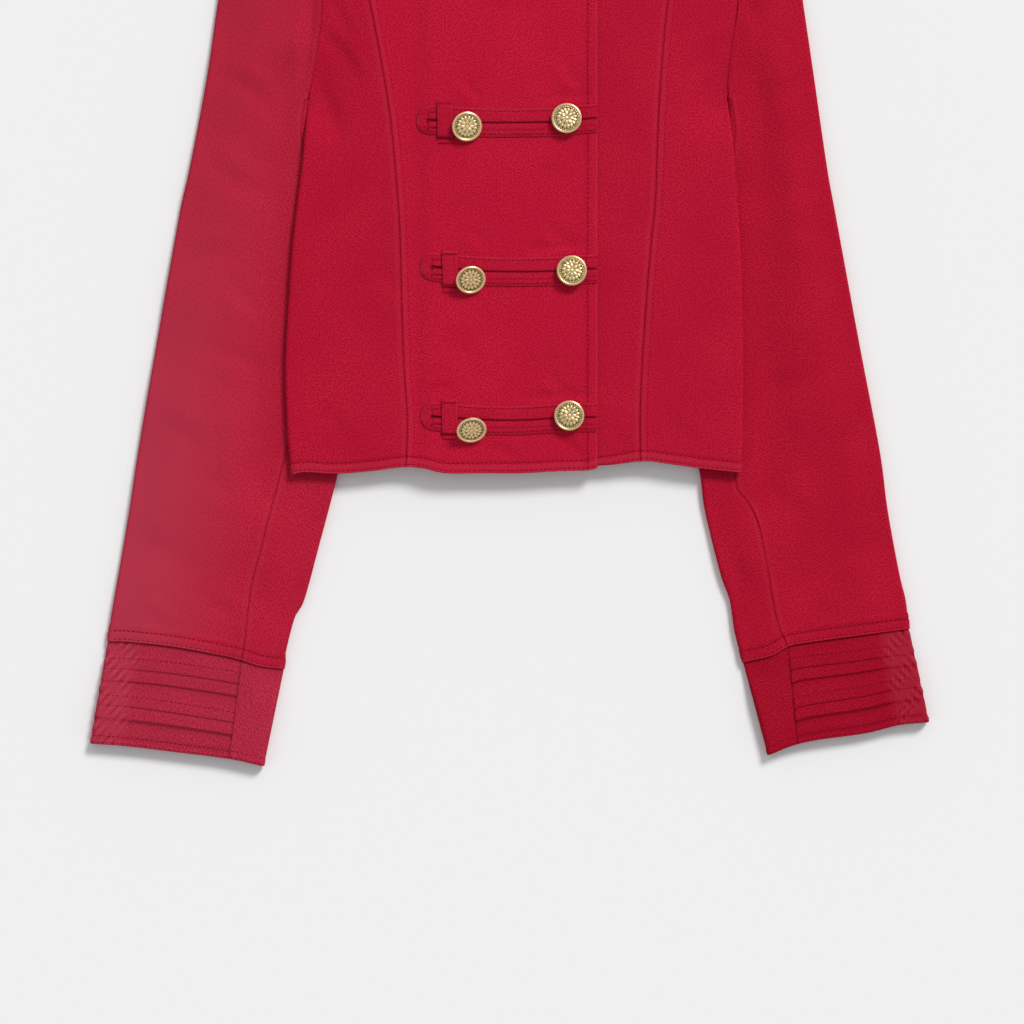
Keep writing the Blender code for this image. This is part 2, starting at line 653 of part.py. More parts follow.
def back(finish):
    """The whole back, in one piece, its columns along the ramps over the sleeves."""
    edges = {}
    for side, out in SIDES.items():
        arm = list(reversed(back_armhole_points(side)))
        edges[side] = even(SIDE_LINE[side], BODY_ROWS) + inset(arm, out * SEAM_GAP / 2)[1:]
    left, right = edges["right"], edges["left"]
    hem = []
    for step in range(HEM_POINTS + 1):
        straight = left[0].lerp(right[0], step / HEM_POINTS)
        away = smooth(min(step, HEM_POINTS - step) / HEM_EASE_POINTS)
        hem.append(Vector((straight.x, mix(straight.y, BACK_HEM_Y, away))))
    top = SHOULDER_LINE["right"][:1] + curve(BACK_NECK) + SHOULDER_LINE["left"][:1]
    top[0] = left[-1]
    top[-1] = right[-1]
    whole = length(top)
    shoulder = {side: length(SHOULDER_LINE[side]) / whole for side in SIDES}
    fold = [share * FOLD_RADIUS for share, rise in FOLD]
    ramp = [step / RAMP_COLUMNS for step in range(RAMP_COLUMNS + 1)]
    near_neck = len(fold) + len(ramp) - 2

    def top_shares():
        sides = {}
        for side in SIDES:
            start = [value / whole for value in fold]
            rest = [mix(start[-1], shoulder[side], (step + 1) / len(ramp))
                    for step in range(len(ramp))]
            sides[side] = start + rest
        return joined(sides["right"], sides["left"])

    def joined(near, far):
        end = 1.0 - far[-1]
        middle = [mix(near[-1], end, step / BACK_COLUMNS) for step in range(1, BACK_COLUMNS)]
        return near + middle + [1.0 - value for value in reversed(far)]

    def body_shares(start, end):
        sides = {}
        width = (end - start).length
        for side, edge in (("right", start), ("left", end)):
            head = ramp_head(side, edge.y)
            reach = abs(edge.x) - head
            sides[side] = [value / width for value in fold]
            sides[side] += [(reach + value * RAMP) / width for value in ramp]
        return joined(sides["right"], sides["left"])

    last_shares = top_shares()
    rows = []
    count = len(left) - 1
    upward = [(a + b) / 2 for a, b in zip(shares(left), shares(right))]
    for j, (start, end, t) in enumerate(zip(left, right, upward)):
        if j <= BODY_ROWS:
            across = body_shares(start, end)
        else:
            progress = (j - BODY_ROWS) / (count - BODY_ROWS)
            level = body_shares(left[BODY_ROWS], right[BODY_ROWS])
            across = [mix(a, b, progress) for a, b in zip(level, last_shares)]
        row_rise = FOLD[count - j][1] if count - j < len(FOLD) else 1.0
        above = FOLD[min(max(j - BODY_ROWS, 0), len(FOLD) - 1)][1]
        low_line = point_at_share(hem, across)
        high_line = point_at_share(top, across)
        row = []
        for i, s in enumerate(across):
            base = low_line[i] * (1 - t) + high_line[i] * t
            near = hem[0] * (1 - t) + top[0] * t
            far = hem[-1] * (1 - t) + top[-1] * t
            point = base + (start - near) * (1 - s) + (end - far) * s
            place = min(i, len(across) - 1 - i)
            beyond = max(place - near_neck, 0)
            shoulder_rise = 1.0 - (1.0 - smooth(beyond / NECK_BLEND)) * (1.0 - row_rise)
            column = FOLD[place][1] if place < len(FOLD) else 1.0
            rise = min(shoulder_rise, max(column, above))
            middle = side_middle(point.y)
            down = smooth((place - len(fold)) / RAMP_COLUMNS)
            low = mix(middle - FOLD_RADIUS, REST, down)
            row.append(Vector((point.x, point.y, mix(middle, low, rise))))
        rows.append(row)
    return cloth("back", rows, finish)


def shares(line):
    """How far along a line each of its points is, from 0 to 1."""
    reach = [0.0]
    for a, b in zip(line, line[1:]):
        reach.append(reach[-1] + (b - a).length)
    return [value / reach[-1] for value in reach]


def point_at_share(line, across):
    total = length(line)
    return walk(line, [total * share for share in across])


def eased(points, side):
    """Armhole points of a sleeve, set out from the body, more so at both ends."""
    out = SIDES[side]
    line = ARM_LINE[side]
    total = length(line)
    moved = inset(points, out * SEAM_GAP / 2)
    for place, point in enumerate(points):
        reach = nearest(line, point)[1]
        top = ARMHOLE_EASE["shoulder"] * (1.0 - smooth(reach / EASE_REACH))
        low = ARMHOLE_EASE["underarm"] * (1.0 - smooth((total - reach) / EASE_REACH))
        aside = top * SHOULDER_EASE_WAY[0] + low + ARMHOLE_EASE["between"]
        moved[place] = moved[place] + Vector((out * aside, top * SHOULDER_EASE_WAY[1]))
    return moved


def shifted(points, towards, distance):
    """Points moved a distance towards others."""
    return [a + (b - a).normalized() * distance for a, b in zip(points, towards)]


def across_sleeve(line, seam, back_seam):
    """Points of a line across a flattened sleeve, for each quarter of its tube."""
    total = length(line)
    half = SEAM_GAP / 2
    steps = {
        "outer_top": spread(seam - half, OUTER_COLUMNS, True, False)[1:],
        "outer_low": spread(back_seam - half, UNDER_OUTER_COLUMNS, True, False)[1:],
    }
    for quarter, reach, count in (("inner_top", seam, INNER_COLUMNS),
                                  ("inner_low", back_seam, UNDER_INNER_COLUMNS)):
        from_fold = spread(total - reach - half, count, True, False)[1:]
        steps[quarter] = [total - value for value in reversed(from_fold)]
    return {quarter: walk(line, distances) for quarter, distances in steps.items()}


def cuff_line(side, share):
    """The line across a sleeve at a share of its cuff's depth, with its two seams."""
    top_line = CUFF_TOP_LINE[side]
    end_line = CUFF_END_LINE[side]
    line = [a.lerp(b, share)
            for a, b in zip(even(top_line, LINE_POINTS), even(end_line, LINE_POINTS))]
    total = length(line)
    top_seam = nearest(top_line, SEAM_LINE[side][-1])[1] / length(top_line)
    end_seam = nearest(end_line, Vector(CUFF_SEAM_END[side]))[1] / length(end_line)
    return line, mix(top_seam, end_seam, share) * total, BACK_SEAM_SHARE * total


def tube_heights(side, line, quarter, along, step=0.0):
    """A row of one quarter of a sleeve's tube, its points given their heights."""
    rises = [rise for inset_share, rise in FOLD][1:]
    row = []
    for i, point in enumerate(line):
        from_fold = i if quarter.startswith("outer") else len(line) - 1 - i
        rise = rises[from_fold] if from_fold < len(rises) else 1.0
        far = sleeve_height(side, point.x, point.y, along) - step
        if quarter.endswith("low"):
            far = REST
        row.append(Vector((point.x, point.y, mix(FOLD_MIDDLE, far, rise))))
    return row


def sleeve_parts(side, finish):
    """Upper and under sleeve: two pieces that make a flattened tube."""
    arm = eased(armhole_points(side)[0], side)
    low_arm = eased(back_armhole_points(side), side)
    corner = len(arm) - ARMHOLE_CORNER
    low_corner = len(low_arm) - ARMHOLE_CORNER
    beside_body = arm[corner:-len(FOLD)] + arm[-1:]
    seam = even(SEAM_LINE[side], SLEEVE_ROWS)
    inner = even(INNER_LINE[side], SLEEVE_ROWS)
    outer = point_at_share(OUTER_LINE[side], shares(beside_body + seam))
    beside_seam = outer[len(beside_body):]
    back_seam = [a.lerp(b, BACK_SEAM_SHARE * smooth(j / BACK_SEAM_ROWS))
                 for j, (a, b) in enumerate(zip(seam, beside_seam))]
    ends = across_sleeve(*cuff_line(side, 0.0))
    lift = Vector((0.0, SEAM_GAP / 2))
    half = SEAM_GAP / 2
    grids = {}
    for layer, start, middle in (("top", arm[1:corner + 1], seam),
                                 ("low", low_arm[1:low_corner + 1], back_seam)):
        outer_end = [point + lift for point in ends["outer_" + layer]]
        inner_end = [point + lift for point in ends["inner_" + layer]]
        left = start[:1] + outer[1:-1] + outer_end[:1]
        right = beside_body + shifted(middle, beside_seam, half)[:-1] + outer_end[-1:]
        grids["outer_" + layer] = coons(start, outer_end, left, right)
        left = shifted(middle, inner, half)[:-1] + inner_end[:1]
        left[0] = left[0] - Vector((0.0, SEAM_GAP))
        right = inner[:-1] + inner_end[-1:]
        count = INNER_COLUMNS if layer == "top" else UNDER_INNER_COLUMNS
        from_fold = spread((right[0] - left[0]).length, count, True, False)[1:]
        first = [right[0] + (left[0] - right[0]).normalized() * value
                 for value in reversed(from_fold)]
        right[0] = first[-1]
        grids["inner_" + layer] = coons(first, inner_end, left, right)
    for name, quarter in (("sleeve_upper_", "outer_"), ("sleeve_under_", "inner_")):
        rows = []
        count = len(grids[quarter + "top"]) - 1
        for j in range(count + 1):
            along = j / count
            over = tube_heights(side, grids[quarter + "top"][j], quarter + "top", along)
            under = tube_heights(side, grids[quarter + "low"][j], quarter + "low", along)
            rows.append(tube_row(over, under, quarter))
        rows.reverse()
        cloth(name + side, oriented(rows, side), finish)


def tube_row(over, under, quarter):
    """One row round the outer or the inner fold of a sleeve."""
    if quarter == "outer_":
        return list(reversed(under)) + over
    return over + list(reversed(under))


def cuff_shares():
    """Rows along a cuff, as shares of its depth, and the relief at each."""
    rows = [(0.0, 0.0)]
    for start, groove, end in TAPES:
        rows += [(start - TAPE_SLOPE, 0.0), (start + TAPE_SLOPE, TAPE_RISE),
                 (groove - 2 * TAPE_SLOPE, TAPE_RISE), (groove, TAPE_GROOVE),
                 (groove + 2 * TAPE_SLOPE, TAPE_RISE), (end - TAPE_SLOPE, TAPE_RISE),
                 (end + TAPE_SLOPE, 0.0)]
    return rows + [(1.0, 0.0)]


def cuff_row(side, share, quarter):
    """A row round a cuff, and how many of its points lie underneath."""
    line, seam, back_seam = cuff_line(side, share)
    drop = Vector((0.0, -SEAM_GAP / 2 * (1.0 - share)))
    layers = across_sleeve([point + drop for point in line], seam, back_seam)
    over, under = (tube_heights(side, layers[quarter + layer], quarter + layer, 1.0, CUFF_STEP)
                   for layer in ("top", "low"))
    return tube_row(over, under, quarter), len(under)


def cuff_parts(side, finish):
    """Upper cuff with its raised tapes, and plain under cuff."""
    rows = []
    reliefs = []
    for share, relief in reversed(cuff_shares()):
        row, flat = cuff_row(side, share, "outer_")
        rows.append(row)
        reliefs.append([0.0] * flat + [relief * 0.5] + [relief] * (len(row) - flat - 1))
    raised("cuff_upper_" + side, oriented(rows, side), oriented(reliefs, side), finish)
    rows = [cuff_row(side, 1.0 - step / UNDER_CUFF_ROWS, "inner_")[0]
            for step in range(UNDER_CUFF_ROWS + 1)]
    cloth("cuff_under_" + side, oriented(rows, side), finish)


def seat(panel, x, y):
    """Height just above a panel, clear of its small bumps round a place."""
    found = []
    for aside in (-SEAT_REACH, 0.0, SEAT_REACH):
        for along in (-SEAT_REACH, 0.0, SEAT_REACH):
            hit = panel.ray_cast(Vector((x + aside, y + along, 100.0)), Vector((0.0, 0.0, -1.0)))
            if hit[0] is not None:
                found.append(hit[0].z)
    return max(found) + CLOTH / 2 + SEAM_GAP


def tab(name, place, panel, finish):
    """A tape folded back on itself: two ribs, a groove between and a pointed tip."""
    left, middle, right = place
    low = []
    high = []
    for share, rise in TAB_PROFILE:
        under = []
        for step in range(TAB_COLUMNS + TAB_TIP_COLUMNS):
            if step <= TAB_TIP_COLUMNS:
                x = left + TAB_TIP * (step / TAB_TIP_COLUMNS) ** 1.5
            else:
                x = mix(left + TAB_TIP, right, (step - TAB_TIP_COLUMNS) / (TAB_COLUMNS - 1))
            tip = min(1.0, (x - left) / TAB_TIP)
            half = TAB_HALF_WIDTH * mix(TAB_TIP_START, 1.0, math.sqrt(tip * (2.0 - tip)))
            y = middle + share * half
            under.append(Vector((x, y, seat(panel, x, y))))
        low.append(under)
        high.append([point + Vector((0.0, 0.0, rise)) for point in under])
    return slab(name, low, high, finish)


def slab(name, low, high, finish):
    """A closed piece between a lower and an upper grid of points."""
    count = len(low[0])
    mesh = bpy.data.meshes.new(name)
    build = bmesh.new()
    under = [[build.verts.new(point * MM) for point in row] for row in low]
    over = [[build.verts.new(point * MM) for point in row] for row in high]
    for j in range(len(low) - 1):
        for i in range(count - 1):
            build.faces.new((over[j][i], over[j][i + 1], over[j + 1][i + 1], over[j + 1][i]))
            build.faces.new((under[j][i], under[j + 1][i], under[j + 1][i + 1], under[j][i + 1]))
    border = [(0, i) for i in range(count)]
    border += [(j, count - 1) for j in range(1, len(low))]
    border += [(len(low) - 1, i) for i in range(count - 2, -1, -1)]
    border += [(j, 0) for j in range(len(low) - 2, 0, -1)]
    for (j, i), (next_j, next_i) in zip(border, border[1:] + border[:1]):
        build.faces.new((under[j][i], under[next_j][next_i],
                         over[next_j][next_i], over[j][i]))
    build.to_mesh(mesh)
    build.free()
    mesh.shade_smooth()
    mesh.materials.append(finish)
    made = bpy.data.objects.new(name, mesh)
    JACKET.objects.link(made)
    return made


def loop(name, place, tab_middle, panel, finish):
    """A narrow carrier that passes over a tab, its ends down on the front."""
    middle, top, bottom = place
    rim = TAB_HALF_WIDTH + 0.5
    marks = [bottom, tab_middle - rim - LOOP_RAMP, tab_middle - rim, tab_middle - rim / 2,
             tab_middle, tab_middle + rim / 2, tab_middle + rim,
             tab_middle + rim + LOOP_RAMP, top]
    low = []
    high = []
    for y in marks:
        over_tab = TAB_THICKNESS + SEAM_GAP if abs(y - tab_middle) < rim + 0.1 else 0.0
        under = [Vector((x, y, seat(panel, x, y) + over_tab))
                 for x in (middle - LOOP_HALF_WIDTH, middle, middle + LOOP_HALF_WIDTH)]
        low.append(under)
        high.append([point + Vector((0.0, 0.0, LOOP_THICKNESS)) for point in under])
    return slab(name, low, high, finish)


def button(name, place, panel, finish):
    """A domed metal cap with a raised rim, turned, on a shank down to its tab."""
    x, y, tilt, heading = place
    tilt = math.radians(tilt)
    heading = math.radians(heading)
    top = seat(panel, x, y) + TAB_THICKNESS
    if math.degrees(tilt) > LEANING:
        centre = top + RIM_CLEARANCE + BUTTON_RADIUS * math.sin(tilt)
        shank = (centre - top - SEAM_GAP - SHANK_RADIUS * math.sin(tilt)) / math.cos(tilt)
    else:
        shank = FACE_SHANK
        centre = top + SEAM_GAP + SHANK_RADIUS * math.sin(tilt) + shank
    profile = CAP + ((SHANK_RADIUS, -shank), (0.0, -shank))
    mesh = bpy.data.meshes.new(name)
    points = [Vector((radius, 0.0, up)) * MM for radius, up in profile]
    mesh.from_pydata(points, [(i, i + 1) for i in range(len(points) - 1)], [])
    mesh.materials.append(finish)
    made = bpy.data.objects.new(name, mesh)
    turn = made.modifiers.new("turned", "SCREW")
    turn.steps = BUTTON_STEPS
    turn.render_steps = BUTTON_STEPS
    turn.use_merge_vertices = True
    turn.merge_threshold = 0.00001
    lean = Vector((math.sin(heading), -math.cos(heading), 0.0))
    made.rotation_mode = "QUATERNION"
    made.rotation_quaternion = Matrix.Rotation(tilt, 4, -lean).to_quaternion()
    made.location = Vector((x, y, centre)) * MM
    JACKET.objects.link(made)
    return made


for leftover in list(bpy.data.objects):
    bpy.data.objects.remove(leftover)

JACKET = collection("cropped_military_jacket")
red_twill = material("red_twill", RED, 0.85, 0.0)
aged_gold = material("aged_gold", GOLD, 0.38, 1.0)

back(red_twill)
for wearer_side in SIDES:
    side_front(wearer_side, red_twill)
    sleeve_parts(wearer_side, red_twill)
    cuff_parts(wearer_side, red_twill)
centre_front("left", red_twill)
over_front = sheet_tree(centre_front("right", red_twill))
for number, (tab_place, loop_place) in enumerate(zip(TABS, LOOPS), start=1):
    tab("tab_%d" % number, tab_place, over_front, red_twill)
    loop("loop_%d" % number, loop_place, tab_place[1], over_front, red_twill)
for button_name, button_place in BUTTONS.items():
    button(button_name, button_place, over_front, aged_gold)
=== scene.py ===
"""Looks of the cropped military jacket: fine cloth, stitches, buttons, light and camera.

Tables and sizes are in millimetres, +X to the wearer's left, +Y to the neck and +Z up.
"""

import math

import bpy
import numpy as np
from mathutils import Matrix, Vector
from mathutils.bvhtree import BVHTree


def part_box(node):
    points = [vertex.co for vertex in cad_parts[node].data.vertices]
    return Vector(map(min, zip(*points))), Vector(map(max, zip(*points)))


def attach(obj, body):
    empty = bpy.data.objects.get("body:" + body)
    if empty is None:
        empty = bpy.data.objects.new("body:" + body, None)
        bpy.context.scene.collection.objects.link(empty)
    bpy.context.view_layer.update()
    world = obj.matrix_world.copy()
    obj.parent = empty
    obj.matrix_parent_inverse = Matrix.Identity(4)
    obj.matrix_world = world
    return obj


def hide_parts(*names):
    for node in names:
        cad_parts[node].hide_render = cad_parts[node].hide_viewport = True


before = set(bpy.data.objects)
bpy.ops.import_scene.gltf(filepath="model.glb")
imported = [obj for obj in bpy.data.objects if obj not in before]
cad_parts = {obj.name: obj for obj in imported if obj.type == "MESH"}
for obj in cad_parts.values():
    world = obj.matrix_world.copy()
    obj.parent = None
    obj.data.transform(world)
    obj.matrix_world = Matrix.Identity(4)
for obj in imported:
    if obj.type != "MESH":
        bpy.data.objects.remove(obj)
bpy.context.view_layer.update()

MM = 0.001

# Heights and reaches of the cloth's layers, the same as in the solids
CLOTH = 1.2
SEAM_GAP = 0.3
FOLD_RADIUS = 2.65
REST = CLOTH / 2
FOLD_MIDDLE = REST + FOLD_RADIUS
FOLD_TOP = FOLD_MIDDLE + FOLD_RADIUS
SIDE_MIDDLE = FOLD_TOP + CLOTH + 0.4 + FOLD_RADIUS
CHEST_TOP = 12.9
CHEST_Y = 90.0
CHEST_EASE = 200.0
SHOULDER_TOP = 9.6
ARMHOLE_TOP = 8.6
SLEEVE_TOP = 10.4
OUTER_TOP = 6.6
OVERLAP_LIFT = CLOTH + 0.5
WAVE = 0.7
SIDE_CLIMB = 36.0
RAMP = 16.0
RAMP_CLEARANCE = 2.5
RAMP_EDGE = 7.5
PRESS_START = 12.0
PRESS_REACH = 32.0
PRESS_MOST = 60.0
LOOSE_REACH = 14.0
EDGE_REACH = 45.0
EDGE_BLEND = 7.0
ARMHOLE_REACH = 26.0
ARMHOLE_SHAPE = 40.0
OVERLAP_RAMP = 14.0
OVERLAP_CLEARANCE = 3.0
FRONT_EDGE_X = 60.9
UNDERLAP_X = -51.0
HIDDEN_HEM_RISE = 1.6
BACK_HEM_Y = -129.5
BACK_SEAM_SHARE = 0.30
SEAM_TIP = 1.7
SHOULDER_EASE = 0.4
UNDERARM_EASE = 0.3
EASE_REACH = 14.0
NECK_OPEN = 26.0
NECK_EASE = 104.0
CUFF_STEP = 1.0
BODY_MIDDLE = 3.5  # x of the neck's middle
ARM_CORNER = 0.56  # share of the armhole, from the shoulder, at the upper sleeve's end
UPPER_CUFF = 0.78  # share of a cuff's width that its upper piece takes, about

# Outline of each side, in x and y. "right" is the wearer's right, at -X.
SIDES = {"right": -1.0, "left": 1.0}
SIDE_EDGE = {
    "right": ((-152.2, -132.3), (-155.4, -101.2), (-157.1, -66.2), (-156.4, -38.2),
              (-152.6, 17.9), (-149.1, 55.7), (-144.2, 94.9), (-141.4, 131.3)),
    "left": ((161.0, -130.9), (162.4, -101.2), (162.8, -41.7), (161.7, 3.9),
             (158.9, 59.9), (156.1, 94.9), (152.9, 131.3)),
}
ARMHOLE = {
    "right": ((-183.4, 297.9), (-160.3, 270.6), (-142.8, 241.9), (-133.7, 213.9),
              (-131.6, 192.9), (-134.4, 168.4), (-138.6, 145.3), (-141.4, 131.3)),
    "left": ((189.0, 297.9), (172.9, 270.6), (164.5, 241.9), (161.0, 213.9),
             (158.9, 192.9), (155.4, 168.4), (152.9, 145.3), (152.9, 131.3)),
}
PRINCESS_SEAM = {
    "right": ((-72.8, -127.1), (-71.8, -94.2), (-74.2, -58.5), (-75.9, -10.2),
              (-77.7, 48.0), (-82.9, 108.9), (-88.2, 145.3), (-98.7, 199.9),
              (-107.1, 220.9), (-121.1, 236.3), (-142.8, 241.9)),
    "left": ((91.0, -123.2), (91.0, -80.2), (94.5, -19.3), (98.7, 31.9),
             (101.5, 59.9), (104.3, 129.9), (110.6, 199.9), (118.3, 220.9),
             (134.4, 236.3), (164.5, 241.9)),
}
SLEEVE_OUTER = {
    "right": ((-183.4, 297.9), (-194.6, 252.4), (-204.4, 199.9), (-212.1, 147.4),
              (-224.0, 84.4), (-231.7, 49.4), (-247.8, -41.7), (-260.4, -115.2),
              (-266.7, -157.2), (-274.4, -202.7), (-279.3, -230.7), (-281.8, -249.2)),
    "left": ((189.0, 297.9), (197.4, 252.4), (205.1, 199.9), (212.8, 147.4),
             (221.9, 84.4), (228.2, 49.4), (245.0, -41.7), (259.0, -115.2),
             (264.6, -157.2), (273.0, -202.7), (277.2, -220.2), (279.6, -240.5)),
}
SLEEVE_INNER = {
    "right": ((-142.1, 130.5), (-143.1, 112.0), (-142.4, 98.0), (-133.0, 66.9), (-115.5, 37.5),
              (-106.4, 3.9), (-105.0, -31.2), (-110.6, -80.2), (-121.1, -130.6),
              (-134.4, -181.7), (-144.9, -220.2), (-151.2, -231.4), (-157.5, -255.2),
              (-159.2, -268.5)),
    "left": ((153.6, 130.5), (154.8, 112.0), (154.0, 98.0), (143.6, 66.9), (124.6, 37.5),
             (113.4, 3.9), (111.3, -31.2), (120.4, -80.2), (133.0, -127.8),
             (137.2, -157.2), (148.4, -202.7), (154.7, -220.2), (158.2, -243.3),
             (164.1, -263.9)),
}
FRONT_SLEEVE_SEAM = {
    "right": ((-143.8, 130.8), (-146.1, 112.0), (-145.6, 98.0), (-141.5, 66.9), (-140.5, 37.5),
              (-142.5, -10.2), (-149.0, -80.2), (-160.3, -129.2), (-169.4, -163.5),
              (-174.3, -185.2), (-181.3, -211.8), (-185.5, -248.2), (-187.6, -261.5)),
    "left": ((155.2, 130.8), (157.8, 112.0), (157.2, 98.0), (152.5, 66.9), (150.0, 37.5),
             (151.0, -10.2), (154.5, -80.2), (158.2, -136.2), (165.9, -150.2),
             (173.6, -165.6), (180.6, -199.2), (186.9, -234.2), (192.5, -248.2),
             (194.6, -253.1)),
}
CUFF_TOP = {
    "right": ((-281.8, -249.2), (-265.3, -249.6), (-233.8, -253.1), (-193.2, -260.8),
              (-175.7, -266.4), (-159.2, -268.5)),
    "left": ((279.6, -240.5), (240.8, -245.4), (201.6, -251.0), (192.5, -253.8),
             (182.7, -259.4), (164.1, -263.9)),
}
CUFF_END = {
    "right": ((-294.3, -320.6), (-268.8, -322.4), (-233.8, -326.6), (-195.3, -331.5),
              (-173.2, -336.4)),
    "left": ((293.6, -305.6), (272.3, -307.7), (249.2, -313.3), (214.2, -318.2),
             (196.7, -322.4), (181.3, -328.7)),
}
CUFF_SEAM_END = {"right": (-196.5, -331.3), "left": (200.9, -321.2)}
SHOULDER = {
    "right": ((-183.4, 297.9), (-80.5, 336.4)),
    "left": ((189.0, 297.9), (87.5, 336.4)),
}
FRONT_NECK = ((-80.5, 336.4), (-74.9, 297.9), (-54.6, 262.9), (-28.0, 241.9),
              (3.5, 234.9), (35.0, 241.9), (60.9, 262.9), (81.9, 297.9), (87.5, 336.4))
BACK_NECK = ((-80.5, 336.4), (-58.0, 323.5), (3.5, 317.5), (65.0, 323.5), (87.5, 336.4))
FRONT_HEM = ((-152.2, -132.3), (-143.5, -130.6), (-121.8, -131.6), (-98.0, -129.9),
             (-75.6, -127.1), (-61.6, -127.8), (-44.8, -131.3), (-16.1, -131.3),
             (7.0, -131.3), (33.6, -129.9), (55.3, -129.2), (60.9, -127.4),
             (72.1, -126.0), (86.8, -123.4), (98.0, -122.9), (105.0, -123.9),
             (133.0, -127.8), (161.0, -130.9))

# Cuff tapes as shares of the cuff's depth, at its outer edge and at its seam:
# soft top, groove and sharp lower edge of each
TAPES = (((0.158, 0.120), (0.272, 0.246), (0.382, 0.366)),
         ((0.510, 0.522), (0.624, 0.637), (0.741, 0.754)))

# Closing tabs: points of each middle line, from the pointed tip to the sewn end
TAB_MIDDLES = (
    ((-65.1, 114.8), (-57.0, 114.9), (-20.0, 113.4), (2.0, 113.0), (28.7, 113.7), (60.4, 116.2)),
    ((-62.3, 11.6), (-56.7, 12.6), (-16.1, 9.2), (6.0, 8.8), (31.5, 9.6), (60.4, 10.9)),
    ((-62.3, -91.6), (-56.7, -91.6), (-16.1, -94.7), (6.0, -94.6), (31.5, -93.3), (60.4, -92.6)),
)
TAB_HALF_WIDTH = 9.9
TAB_THICKNESS = 1.7
TAB_TIP = 9.5
TAB_LIFT = 0.12  # above the cloth that it lies on
HOLE_AT = 13.0  # from the tip to the buttonhole's middle
SQUARE = (5.0, 5.4)  # half sizes of the stitched square round it

# Loops: x of the middle, upper end and lower end
LOOPS = ((-45.4, 129.2, 99.1), (-41.7, 24.2, -4.9), (-41.9, -79.5, -107.5))
LOOP_HALF_WIDTH = 5.3
LOOP_THICKNESS = 0.9
LOOP_RAMP = 2.4
LOOP_LIFT = 0.15

# Buttons: x, y, tilt and the way they lean, in degrees
BUTTONS = {
    "button_1_outer": (-30.1, 110.3, 20.0, -62.0),
    "button_1_inner": (39.4, 115.7, 2.0, 90.0),
    "button_2_outer": (-27.5, 3.6, 30.0, -68.0),
    "button_2_inner": (43.0, 9.5, 2.0, 60.0),
    "button_3_outer": (-26.9, -100.8, 38.0, -76.0),
    "button_3_inner": (41.3, -91.4, 3.0, -100.0),
}
SHANK_RADIUS = 1.8

# Rows of stitches: distances from an edge or a seam, and shares of the cuff's depth
HEM_ROW = 7.0
EDGE_ROW = 1.5
FRONT_ROW = 6.6
NECK_ROW = 6.4
FRONT_ROW_ENDS = (-127.5, 246.0)
SEAM_ROW = 5.0
SLEEVE_ROW = 7.4
CUFF_ROWS = (0.92, 0.982)
TAPE_ROWS = ((0.17, 0.132), (0.522, 0.534))

# Where the tabs pull the creases deeper: middle, half width and the ease to it
TAB_ZONE_MIDDLE = 5.0
TAB_ZONE = 80.0
TAB_ZONE_EASE = 20.0

# Fine cloth: thickness, spacing of its points, marks close to folds and raw seams, rim
SHEET = 1.0
STEP = 2.6
LOW_STEP = 4.0
BACK_STEP = 4.2
CENTRE_STEP = 3.1
FOLD_MARKS = FOLD_RADIUS * np.array((0.0, 0.012, 0.05, 0.12, 0.22, 0.36, 0.55, 0.78, 1.0))
SEAM_MARKS = np.array((0.0, 0.35, 0.8, 1.5, 2.6, 4.2, 5.2, 6.2, 7.4))
FOLD_POWER = 2.4
FOLD_START = 0.06
RIM = 0.3
# Usual widths of pieces, for the even spacing of their points
SIDE_WIDTH = 75.0
OUTER_WIDTH = 86.0
INNER_WIDTH = 32.0
LOW_INNER_WIDTH = 60.0

# How far the twill turns on each sleeve, in degrees, and the painted light along its outer edge:
# a painted sheen on the right sleeve, slight painted shade on the left
SLEEVE_TURN = {"right": 32.0, "left": -10.0}
SLEEVE_EDGE_LIGHT = {"right": 0.8, "left": -0.10}
EDGE_LIGHT_REACH = 105.0
EDGE_LIGHT_Y = 140.0
EDGE_LIGHT_EASE = 320.0

# Crimped outer part of a cuff: its width and the ease to the plain part
CRIMP_WIDTH = 17.0
CRIMP_EASE = 10.0

# Relief and painted shade down a cuff (under the sleeve's lapped edge, in the grooves and below
# the tapes' sharp edges), at eight places after each line of its tapes
CUFF_PLACES = (0, 0.06, 0.14, 0.30, 0.50, 0.70, 0.86, 0.94)
TAPE_TOP = (0.34, 0.48, 0.56, 0.60, 0.62, 0.62, 0.60, 0.52)
TAPE_LOW = (0, 0.52, 0.62, 0.64, 0.64, 0.64, 0.64, 0.62)
CUFF_RELIEF = ((0, 0, 0, 0, 0, 0.02, 0.10, 0.24), TAPE_TOP, TAPE_LOW,
               (0.44, -0.18, -0.08, 0, 0, 0.02, 0.10, 0.24), TAPE_TOP, TAPE_LOW,
               (0.44, -0.18, -0.08, 0, 0, 0.10, 0.42, 0.45))
SOFT_SHADE = (-0.25, -0.1, 0, 0, 0, 0, 0, 0)
GROOVE_SHADE = (-0.85, -0.35, 0, 0, 0, 0, 0, 0)
SHARP_SHADE = (-0.30, -0.7, -0.25, -0.05, 0, 0, 0, 0)
CUFF_SHADE = ((-0.6, -0.3, -0.1, 0, 0, 0, 0, 0), SOFT_SHADE, GROOVE_SHADE,
              SHARP_SHADE, SOFT_SHADE, GROOVE_SHADE, SHARP_SHADE)

